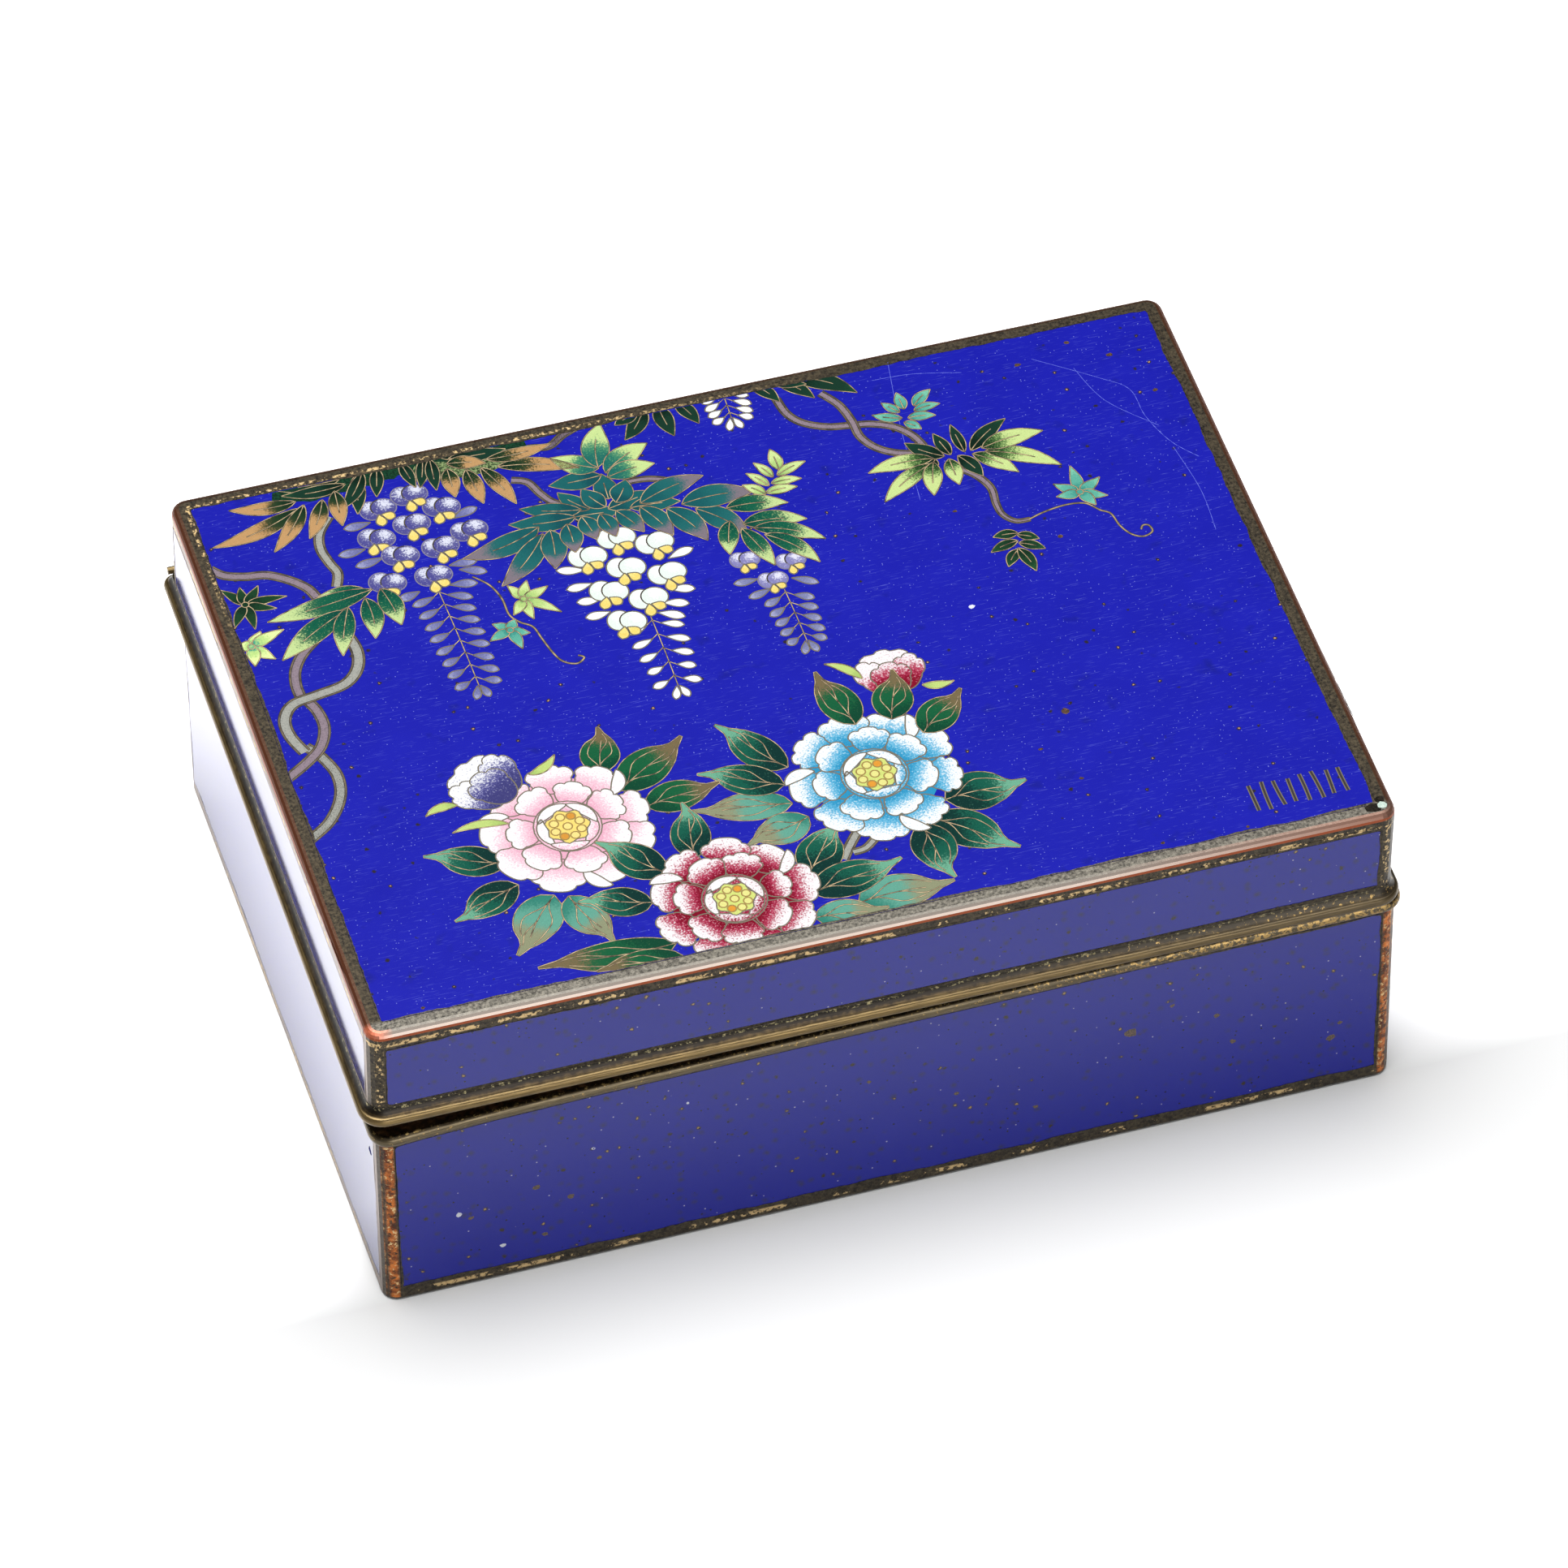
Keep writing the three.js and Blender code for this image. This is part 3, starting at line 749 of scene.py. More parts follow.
def top_left_leaves():
    pile.start(LEAF_LEVEL)
    thicket([(-51.0, 43.6), (-46.0, 42.4), (-40.0, 42.8), (-34.0, 43.4), (-28.0, 42.6), (-19.0, 43.2)],
            2.9, FOREST, 0)
    thicket([(-33.0, 42.0), (-27.0, 41.2), (-21.5, 41.6)], 3.0, THICKET, 170)
    spray([(-42.5, 43.6, -50.6, 44.0, 2.2, 0.05), (-42.0, 42.6, -50.0, 42.8, 2.0, 0.1),
           (-40.5, 43.6, -41.9, 37.2, 2.0, 0.05), (-39.5, 44.0, -43.4, 38.6, 1.9, 0.1),
           (-37.6, 44.2, -38.9, 39.4, 1.7, 0.0), (-34.6, 44.2, -33.9, 39.6, 1.6, 0.0),
           (-31.8, 44.2, -33.4, 39.4, 1.6, 0.05), (-31.0, 43.8, -31.6, 38.4, 1.7, 0.0),
           (-29.6, 43.6, -25.2, 44.4, 2.0, 0.0), (-28.8, 43.2, -21.6, 42.9, 2.2, -0.05)], FOREST, 0.4)
    spray([(-48.6, 41.4, -56.8, 42.2, 2.2, 0.12), (-48.6, 40.2, -60.3, 36.6, 2.5, 0.12),
           (-47.8, 40.6, -53.3, 33.8, 2.2, 0.08), (-45.4, 40.8, -48.6, 34.8, 2.1, 0.08),
           (-43.6, 41.8, -44.2, 35.8, 2.2, 0.0)], AUTUMN, 0.45)
    spray([(-29.4, 41.6, -29.7, 36.6, 2.2, 0.0), (-27.2, 40.8, -26.7, 34.6, 2.3, 0.0),
           (-25.4, 40.6, -22.9, 33.4, 2.3, 0.06), (-23.4, 40.2, -13.8, 37.2, 2.4, 0.1),
           (-24.4, 41.8, -16.0, 42.2, 2.0, -0.08), (-29.2, 42.4, -24.6, 41.2, 2.2, 0.1)], AUTUMN, 0.9)


def left_leaves():
    pile.start(LEAF_LEVEL)
    spray([(-44.4, 24.6, -50.9, 24.6, 2.6, 0.0), (-43.6, 24.4, -57.2, 22.6, 3.1, 0.03)], SPRING, 0.8)
    spray([(-47.6, 21.9, -57.1, 15.9, 3.2, -0.06), (-47.2, 22.3, -49.9, 14.6, 2.6, -0.05),
           (-44.8, 23.2, -45.4, 16.3, 2.7, 0.1), (-42.6, 24.2, -41.8, 17.6, 2.9, 0.06)], SPRING, 0.8)
    star_leaf((-59.0, 26.2), [(-61.3, 29.4), (-58.9, 29.2), (-56.7, 28.9), (-53.8, 26.2), (-55.5, 24.6),
                              (-58.9, 21.9), (-61.2, 22.8)], 1.1, NIGHT)
    star_leaf((-60.1, 19.2), [(-58.4, 21.4), (-55.6, 20.9), (-57.8, 16.4), (-60.5, 15.9),
                              (-61.6, 19.8)], 1.4, SEA)
    star_leaf((-26.5, 17.6), [(-27.8, 20.3), (-25.3, 20.5), (-23.1, 18.9), (-22.7, 14.2), (-26.2, 14.0),
                              (-28.4, 15.3)], 1.2, LIME)
    star_leaf((-29.5, 13.0), [(-31.3, 14.6), (-28.4, 14.6), (-27.3, 11.9), (-28.9, 9.6),
                              (-32.3, 11.9)], 1.2, TURQUOISE)


def middle_leaves():
    pile.start(LEAF_LEVEL)
    spray([(-17.0, 29.2, -11.0, 28.6, 2.8, 0.05), (-12.4, 29.4, -6.2, 30.8, 2.8, 0.0),
           (-9.8, 28.8, -3.6, 28.2, 2.6, 0.05), (-14.6, 30.0, -17.6, 33.8, 2.4, 0.1),
           (-15.6, 30.2, -22.8, 32.4, 2.7, 0.08), (-16.6, 29.2, -24.8, 30.2, 3.0, 0.1),
           (-11.9, 31.0, -11.6, 35.4, 2.9, 0.0), (-11.2, 30.2, -9.0, 33.6, 2.9, -0.1),
           (-12.6, 29.8, -14.6, 33.6, 2.7, 0.1), (-11.6, 35.2, -18.3, 35.2, 3.0, 0.05)], TEAL_DEEP, 0.35)
    spray([(-21.4, 28.8, -31.7, 26.2, 3.4, 0.14), (-21.2, 27.6, -28.4, 20.4, 3.2, 0.1),
           (-20.2, 27.9, -21.4, 21.4, 3.2, 0.06), (-18.0, 28.3, -18.3, 23.4, 2.8, 0.06),
           (-15.9, 29.0, -15.2, 24.8, 2.6, 0.05), (-13.6, 28.8, -12.8, 24.6, 2.4, 0.05),
           (-11.6, 28.8, -9.3, 24.4, 2.7, 0.06), (-8.6, 28.6, -6.1, 22.8, 3.0, 0.08),
           (-5.6, 27.4, -2.3, 20.8, 3.4, 0.12), (-2.2, 26.4, 2.7, 20.3, 3.4, 0.12),
           (-8.4, 29.2, 0.3, 31.6, 3.3, 0.1), (-3.6, 27.6, 5.6, 27.2, 3.7, 0.12)], TEAL, 0.4)
    spray([(-11.6, 36.4, -16.8, 39.8, 3.2, 0.06), (-11.6, 36.6, -9.3, 43.8, 3.5, 0.12),
           (-11.0, 35.4, -4.7, 38.9, 3.4, 0.12), (-11.0, 34.6, -4.8, 35.3, 3.0, 0.1)], SPRIG, 0.8)
    spray([(1.4, 25.4, 8.9, 24.2, 2.8, 0.12), (2.6, 22.2, 10.3, 20.9, 3.0, 0.12),
           (1.2, 23.2, -0.4, 17.7, 2.5, -0.06), (2.2, 21.6, 4.3, 14.4, 2.5, 0.04),
           (3.6, 21.2, 11.5, 17.0, 2.6, 0.14), (4.6, 19.8, 9.7, 13.4, 2.5, 0.14)], SPRING, 0.8)
    spray([(9.5, 29.9, 9.4, 33.6, 1.7, -0.05), (8.4, 28.9, 6.8, 31.9, 1.3, -0.08),
           (9.0, 29.0, 13.0, 30.4, 1.5, 0.1), (7.5, 27.6, 5.4, 30.4, 1.3, -0.1),
           (7.9, 27.9, 11.7, 27.7, 1.4, 0.1), (6.7, 26.3, 4.4, 28.6, 1.5, -0.1),
           (6.8, 26.5, 10.8, 26.5, 1.5, 0.1)], LIME, 0.8)


def back_leaves():
    pile.start(LEAF_LEVEL)
    spray([(-3.4, 45.0, -7.1, 40.2, 2.4, 0.12), (-1.6, 45.0, -1.1, 39.2, 2.4, -0.05),
           (0.6, 45.0, 2.4, 40.4, 2.1, 0.08), (-4.4, 44.6, -7.6, 43.0, 2.0, 0.0),
           (10.4, 45.4, 13.0, 41.2, 2.0, 0.08), (13.4, 45.2, 17.3, 40.6, 2.2, 0.1),
           (15.0, 45.2, 22.6, 40.0, 3.0, 0.14), (12.6, 45.2, 17.0, 43.2, 2.0, 0.0)], FOREST, 0.5)


def right_leaves():
    pile.start(LEAF_LEVEL)
    spray([(28.6, 35.8, 31.4, 38.0, 1.6, 0.1), (27.3, 35.6, 27.2, 38.6, 1.5, 0.0),
           (26.6, 35.2, 24.9, 37.4, 1.3, 0.0), (28.4, 35.0, 31.8, 35.3, 1.4, 0.1),
           (26.6, 34.2, 23.2, 35.7, 1.5, 0.1), (27.3, 34.0, 30.7, 33.5, 1.5, 0.1),
           (26.6, 33.4, 28.3, 31.7, 1.4, 0.1)], TURQUOISE, 0.8)
    spray([(29.6, 26.4, 25.6, 29.9, 2.3, 0.1), (30.4, 26.4, 29.4, 30.5, 1.7, 0.0),
           (32.2, 26.4, 31.9, 31.4, 1.5, 0.0), (33.0, 26.4, 38.7, 30.5, 2.2, 0.1),
           (31.2, 26.0, 33.1, 21.8, 2.1, 0.08), (28.4, 26.2, 27.0, 24.8, 1.6, 0.0)], FOREST, 0.5)
    spray([(28.2, 26.4, 19.8, 26.2, 2.5, -0.12), (27.6, 25.6, 20.3, 20.9, 2.4, -0.1),
           (28.0, 25.8, 26.4, 20.3, 2.4, -0.05), (30.0, 25.8, 29.9, 21.2, 2.2, 0.0),
           (33.0, 25.8, 37.5, 21.2, 2.3, 0.1), (34.6, 25.8, 42.9, 20.9, 2.6, 0.12),
           (34.4, 26.4, 42.5, 27.2, 2.8, 0.1)], MOSS, 0.9)
    star_leaf((43.6, 15.8), [(43.8, 20.4), (40.9, 18.0), (46.7, 17.6), (40.6, 15.8), (46.7, 14.3),
                             (44.8, 13.1)], 1.3, TURQUOISE)
    spray([(34.2, 11.2, 31.1, 11.4, 1.5, -0.1), (34.0, 11.0, 36.4, 9.6, 1.4, 0.1),
           (33.8, 10.0, 30.1, 9.0, 1.5, -0.1), (33.8, 9.6, 36.6, 7.8, 1.5, 0.1),
           (33.4, 8.6, 31.4, 6.1, 1.5, -0.1), (33.4, 8.8, 34.4, 4.5, 1.7, 0.1)], NIGHT, 0.8)


def racemes():
    purple = glasses("#dfe2f2", "#504e92", "#504e92")
    lilac = glass("#827d9c")
    drops([(-40.8, 35.4, -44.2, 35.2), (-42.6, 31.2, -46.0, 31.0), (-40.9, 29.2, -44.5, 28.6),
           (-31.0, 33.2, -27.7, 34.2), (-33.6, 25.6, -30.2, 25.4), (-32.6, 24.6, -29.5, 23.3),
           (-38.2, 22.4, -41.0, 21.7), (-34.4, 22.4, -31.1, 21.8)], WISTERIA_LEAFLET, 1.3)
    tail((-36.0, 22.2), (-35.6, 5.2), 8, 3.8, WISTERIA_LEAFLET)
    florets([(-39.3, 37.6, 0.1), (-35.0, 38.9, 0.05), (-40.7, 32.8, -0.25), (-36.0, 34.0, 0.0),
             (-31.7, 35.8, -0.2), (-38.7, 29.2, -0.2), (-33.7, 29.3, 0.05), (-29.6, 31.0, 0.1),
             (-41.4, 25.2, -0.3), (-35.8, 24.8, 0.0)], 1.0, purple, lilac)
    white = glasses("#ffffff", "#e6f3ea", "#e6f3ea")
    drops([(-17.8, 20.2, -21.4, 21.1), (-17.8, 17.8, -21.1, 17.6), (-17.4, 15.0, -20.5, 15.2),
           (-17.0, 12.6, -20.2, 12.4), (-7.8, 19.2, -4.4, 20.1), (-9.2, 14.2, -6.1, 13.4),
           (-10.6, 12.2, -7.5, 11.2), (-11.6, 10.8, -8.6, 9.2)], WHITE_LEAFLET, 1.35)
    tail((-12.6, 10.4), (-12.7, -1.6), 5, 3.7, WHITE_LEAFLET)
    florets([(-12.8, 24.7, 0.0), (-17.0, 22.6, -0.1), (-8.6, 22.6, 0.1), (-13.0, 19.5, -0.2),
             (-8.6, 17.2, 0.1), (-16.1, 16.2, -0.3), (-11.9, 13.8, 0.0),
             (-15.4, 10.8, -0.3)], 1.05, white, OUTLINE)
    grey = glasses("#e2e2f4", "#8583b8", "#8583b8")
    drops([(1.6, 12.8, -1.4, 12.8), (2.6, 10.8, -0.3, 10.0), (5.6, 11.8, 8.5, 10.1)], GREY_LEAFLET, 1.15)
    tail((4.2, 10.2), (4.3, 1.2), 5, 3.1, GREY_LEAFLET)
    florets([(1.1, 16.6, -0.1), (6.4, 14.9, 0.05), (3.4, 12.4, 0.0)], 0.8, grey, lilac)
    tail((6.7, 45.4), (6.5, 40.2), 4, 3.1, WHITE_LEAFLET)


def peony_leaves():
    pile.start(PEONY_LEAF_LEVEL)
    foliage([(-36.4, -30.2, -42.2, -38.6, 5.8, -0.12), (-34.8, -30.8, -31.0, -38.9, 5.0, -0.12),
             (-5.2, -24.0, -17.0, -22.6, 4.6, -0.06), (-4.0, -26.6, -12.2, -28.2, 4.9, 0.1),
             (-2.4, -41.6, 9.3, -42.2, 5.6, 0.12), (-8.0, -42.4, 0.6, -43.9, 4.4, 0.08)], PALE_LEAF, 0.4)
    foliage([(-40.4, -23.6, -49.0, -19.2, 4.8, 0.1), (-40.0, -27.4, -48.2, -31.6, 4.8, -0.1),
             (-25.6, -34.6, -33.6, -31.4, 4.6, 0.06), (-4.0, -18.2, -9.6, -8.8, 4.9, 0.1),
             (-5.2, -20.8, -14.2, -15.6, 4.9, 0.06), (12.4, -28.6, 22.3, -29.2, 6.2, 0.12),
             (9.8, -31.0, 17.8, -38.9, 5.8, 0.12), (8.4, -31.6, 8.9, -40.8, 5.4, 0.06),
             (-6.8, -35.6, -1.4, -28.2, 5.6, -0.04), (-7.2, -38.6, 4.6, -37.0, 5.4, 0.08)], PEONY_LEAF)
    foliage([(-25.6, -12.8, -23.2, -5.8, 4.8, 0.08), (-24.2, -16.2, -14.4, -10.6, 5.6, 0.08),
             (-22.0, -19.6, -12.6, -19.0, 4.9, 0.1), (-24.8, -41.6, -41.2, -40.0, 4.8, 0.08),
             (-24.6, -43.8, -34.8, -42.6, 4.0, 0.05)], BRONZE_LEAF)


def sepals(blades):
    """Narrow pale sepals beside a bud, each given by its base, its tip and its bend."""
    for x, y, tip_x, tip_y, bend in blades:
        leaflet((x, y), (tip_x, tip_y), 1.25, bend, SEPAL, 0.4, vein=0)


def peonies():
    gold_heart = glasses("#f3d873", "#f8e08a", "#d7963a")
    green_heart = glasses("#cfdc78", "#e6e28c", "#e39a35")
    bud((-38.9, -10.9), 4.6, 2.2, glasses("#f4f5f8", "#5d5c9c", "#3f3e78"))
    sepals([(-43.4, -13.0, -47.5, -13.7, -0.25), (-38.4, -17.6, -45.2, -17.2, -0.2),
            (-33.9, -10.6, -30.1, -8.3, -0.25)])
    bud((12.3, -7.2), 4.1, 1.57, glasses("#f6f0f3", "#b83458", "#860d28"))
    sepals([(8.8, -6.8, 5.1, -3.2, -0.2), (15.4, -9.8, 19.3, -10.2, -0.18)])
    foliage([(5.8, -13.8, 2.9, -4.5, 4.9, -0.08), (13.2, -17.4, 20.0, -12.4, 4.8, 0.1),
             (10.2, -14.2, 13.4, -6.8, 5.0, 0.06)], BRONZE_LEAF)
    pile.start(PEONY_LEVEL)
    peony((-31.8, -20.0), 10.9, 0.15, glasses("#f6f4f5", "#f1c8d6", "#e9adc3"), gold_heart, 0.85)
    pile.start(PEONY_LEVEL)
    peony((5.6, -22.2), 10.9, 0.35, glasses("#f4f7f8", "#62b6da", "#2c93c0"), green_heart, 0.9)
    pile.start(FRONT_PEONY_LEVEL)
    foliage([(-22.6, -30.6, -28.6, -23.0, 5.2, 0.1), (-18.8, -29.2, -17.0, -20.4, 4.8, 0.05)], PEONY_LEAF)
    peony((-16.2, -36.8), 10.4, 0.0, glasses("#f6f2f4", "#b43255", "#7f0a24"), green_heart, 0.94)


def strokes():
    """A short row of plain strokes by the front right corner, each a dark line between two thin wires."""
    for number in range(STROKE_COUNT):
        x = STROKE_X + STROKE_STEP * number
        lean = 0.12 * math.sin(2.3 * number)
        half = STROKE_HALF + 0.2 * math.sin(1.7 * number)
        line = bent_line((x - lean, STROKE_Y - half), (x + lean, STROKE_Y + half), 0.03 * math.sin(number))
        lay_wire(line, 0, STROKE_WIDTH, dark=1.0)
        for side in STROKE_WIRES_AT:
            lay_wire(offset_line(line, [side] * len(line)), 1, STROKE_WIRE, tone=OUTLINE)


for part in (left_trunk, branches, racemes, top_left_leaves, left_leaves, middle_leaves, back_leaves,
             right_leaves, peony_leaves, peonies, strokes):
    part()


# Finishes

GLASS_IOR = 1.52


def opaque(colour):
    return (*colour, 1.0)


def metal(code):
    return opaque(hex_colour(code))


def fired(code):
    return opaque(glass(code))


def node(tree, kind, *inputs, stops=(), **settings):
    """Adds one shader node. The inputs in use are given in their order, each as a plain value, a socket, or
    a node whose first output is meant."""
    added = tree.nodes.new("ShaderNode" + kind)
    for key, value in settings.items():
        setattr(added, key, value)
    for number, (position, colour) in enumerate(stops):
        ends = added.color_ramp.elements
        element = ends[number] if number < 2 else ends.new(position)
        element.position = position
        element.color = opaque(colour)
    in_use = [socket for socket in added.inputs if socket.enabled]
    for socket, value in zip(in_use, inputs):
        if isinstance(value, bpy.types.Node):
            value = first_output(value)
        if isinstance(value, bpy.types.NodeSocket):
            tree.links.new(value, socket)
        else:
            socket.default_value = value
    return added


def first_output(source):
    return next(output for output in source.outputs if output.enabled)


def finish(name, roughness, metallic=0.0):
    """A new material, with what adds a node to it and the place of each point on the part."""
    material = bpy.data.materials.new(name)
    material.use_nodes = True
    shader = material.node_tree.nodes["Principled BSDF"]
    shader.inputs["Roughness"].default_value = roughness
    shader.inputs["Metallic"].default_value = metallic
    add = functools.partial(node, material.node_tree)
    return material, add, add("TexCoord").outputs["Object"]


def paint(material, source, socket="Base Color"):
    tree = material.node_tree
    tree.links.new(first_output(source), tree.nodes["Principled BSDF"].inputs[socket])


def vitreous(material):
    material.node_tree.nodes["Principled BSDF"].inputs["IOR"].default_value = GLASS_IOR


def coats(add, colour, *layers):
    """Lays coats over a colour in turn. Each is its mask and its own colour."""
    for mask, coat in layers:
        colour = add("Mix", mask, colour, coat, data_type="RGBA")
    return colour


def meet(add, mask, *others):
    """A mask that is only where all of these are. A number below one thins it."""
    for other in others:
        mask = add("Math", mask, other, operation="MULTIPLY")
    return mask


def clouds(add, place, size, detail, dark, light):
    """Two colours that go over to each other in lumps about size millimetres wide."""
    return coats(add, dark, (add("TexNoise", place, 1 / (size * MM), detail), light))


def patches(add, place, size, none, all_over, detail=2.0, roughness=0.5, most=1.0):
    """Patches about size millimetres wide. The nearer none and all_over are, the harder are their edges."""
    lumps = add("TexNoise", place, 1 / (size * MM), detail, roughness)
    return add("MapRange", lumps, none, all_over, 0.0, most)


def spots(add, place, spacing, radius, share, hard=0.6):
    """Round spots on a share of the cells of a grid that is spacing wide."""
    cells = add("TexVoronoi", place, 1 / (spacing * MM))
    lot = add("SeparateXYZ", cells.outputs["Color"])
    chosen = add("Math", lot, share, operation="LESS_THAN")
    return meet(add, add("MapRange", cells, radius / spacing, radius / spacing * hard), chosen)


def ragged(add, place, size, reach):
    """The place shifted to and fro, which makes round spots ragged."""
    shake = add("TexNoise", place, 1 / (size * MM), 2.0).outputs["Color"]
    centred = add("VectorMath", shake, (0.5, 0.5, 0.5), operation="SUBTRACT")
    scaled = add("VectorMath", centred, reach * MM, operation="SCALE")
    return add("VectorMath", place, scaled, operation="ADD")


def scratches(add, place, turn, length, width, start):
    """Fine faint straight scratches that run one way."""
    turned = add("Mapping", place, (0, 0, 0), (0, 0, turn), (1 / length, 1 / width, 1 / width))
    lines = add("TexNoise", turned, 1 / MM, 1.0)
    return meet(add, add("MapRange", lines, start, start + 0.1), 0.15)


def cobalt(add, place, dark, light):
    return clouds(add, place, 7, 3.0, fired(dark), fired(light))


def wall_enamel():
    """Cobalt glass fired on copper and polished: deep blue and glossy, with brown pits where it boiled in
    firing. Its reflection is weaker towards its foot, a painted shade for the shadowed floor that it mirrors
    there."""
    material, add, place = finish("wall_enamel", 0.12)
    vitreous(material)
    broken = ragged(add, place, 0.5, 0.6)
    soft = meet(add, spots(add, broken, 1.5, 0.6, 0.5, 0.1), 0.75)
    paint(material, coats(
        add, cobalt(add, place, "#111a96", "#151f9f"),
        (soft, fired("#2c2b44")),
        (spots(add, broken, 1.9, 0.42, 0.5, 0.4), fired("#33291f")),
        (spots(add, broken, 1.9, 0.2, 0.3), fired("#b5925f")),
        (spots(add, place, 1.1, 0.16, 0.4), fired("#06041c")),
        (spots(add, place, 1.4, 0.12, 0.5), fired("#b9b7cf"))))
    # Painted shade: the reflection weakens towards the foot, for the shadowed floor that it mirrors there.
    height = add("SeparateXYZ", place).outputs["Z"]
    paint(material, add("MapRange", height, 0.0, BASE_HEIGHT * MM, 0.22, 0.5), "Specular IOR Level")
    return material


def top_enamel():
    """The same glass on the top, ground with the picture and dulled by use: fine specks, rubbed lines,
    small pits."""
    material, add, place = finish("top_enamel", 0.2)
    vitreous(material)
    broken = ragged(add, place, 0.4, 0.4)
    paint(material, coats(
        add, cobalt(add, place, "#13169b", "#1a1eab"),
        (patches(add, place, 3.2, 0.64, 0.86, most=0.6), fired("#0d1650")),
        (scratches(add, place, 0.05, 2.6, 0.1, 0.66), fired("#8f9cff")),
        (scratches(add, place, 1.1, 1.8, 0.1, 0.68), fired("#a4b0ff")),
        (meet(add, spots(add, place, 0.55, 0.08, 0.6), 0.4), fired("#a9b4ff")),
        (spots(add, broken, 2.3, 0.34, 0.6), fired("#2a2430")),
        (spots(add, broken, 2.3, 0.15, 0.5), fired("#b58f74"))))
    return material


def picture_enamel():
    """Enamels sieved on as powder, so that one colour goes over to the next in grains."""
    material, add, place = finish("picture_enamel", 0.18)
    vitreous(material)
    near, far, tip, fade = (add("Attribute", attribute_name=name).outputs["Vector"]
                            for name in ("tone_near", "tone_far", "tone_tip", "fade"))
    fades = add("SeparateXYZ", fade).outputs
    powder = add("MapRange", add("TexNoise", place, 1 / (0.22 * MM)), 0.3, 0.7, -0.5, 0.5)
    grain = meet(add, powder, fades["Z"])

    def grained(factor):
        """The fade made steeper and broken into grains."""
        shaken = add("Math", factor, grain, operation="ADD")
        return add("Mix", 0.2, add("MapRange", shaken, 0.25, 0.75), factor)

    body = coats(add, near, (grained(fades["X"]), far), (grained(fades["Y"]), tip))
    speckle = patches(add, place, 0.13, 0.25, 0.75, most=0.4)
    shade = coats(add, opaque((0.8, 0.8, 0.8)), (speckle, opaque((1.3, 1.3, 1.3))))
    paint(material, add("Mix", 1.0, body, shade, data_type="RGBA", blend_type="MULTIPLY"))
    return material


def chipped_cobalt():
    """The rough glass where a flake is gone, which mirrors nothing."""
    material, add, place = finish("chipped_cobalt", 0.9)
    material.node_tree.nodes["Principled BSDF"].inputs["Specular IOR Level"].default_value = 0.05
    paint(material, cobalt(add, place, "#0d1070", "#171a9a"))
    return material


def cloison_wire():
    """Flat copper wire, ground level with the glass: a thin gilt line in a dark seam. Some have a tone of
    their own."""
    material, add, place = finish("cloison_wire", 0.4, 0.3)
    fade = add("SeparateXYZ", add("Attribute", attribute_name="fade").outputs["Vector"]).outputs
    aside = add("Math", fade["X"], operation="ABSOLUTE")
    seamed = coats(
        add, fired("#5d4a34"),
        (patches(add, place, 1.0, 0.3, 0.65, 3.0), fired("#e6ca9a")),
        (fade["Y"], fired("#2b211a")),
        (add("MapRange", aside, 0.3, 0.75), fired("#14100d")))
    own = add("Attribute", attribute_name="tone_near").outputs["Vector"]
    edged = coats(add, own, (add("MapRange", aside, 0.6, 1.0), fired("#4a443c")))
    paint(material, coats(add, seamed, (fade["Z"], edged)))
    return material


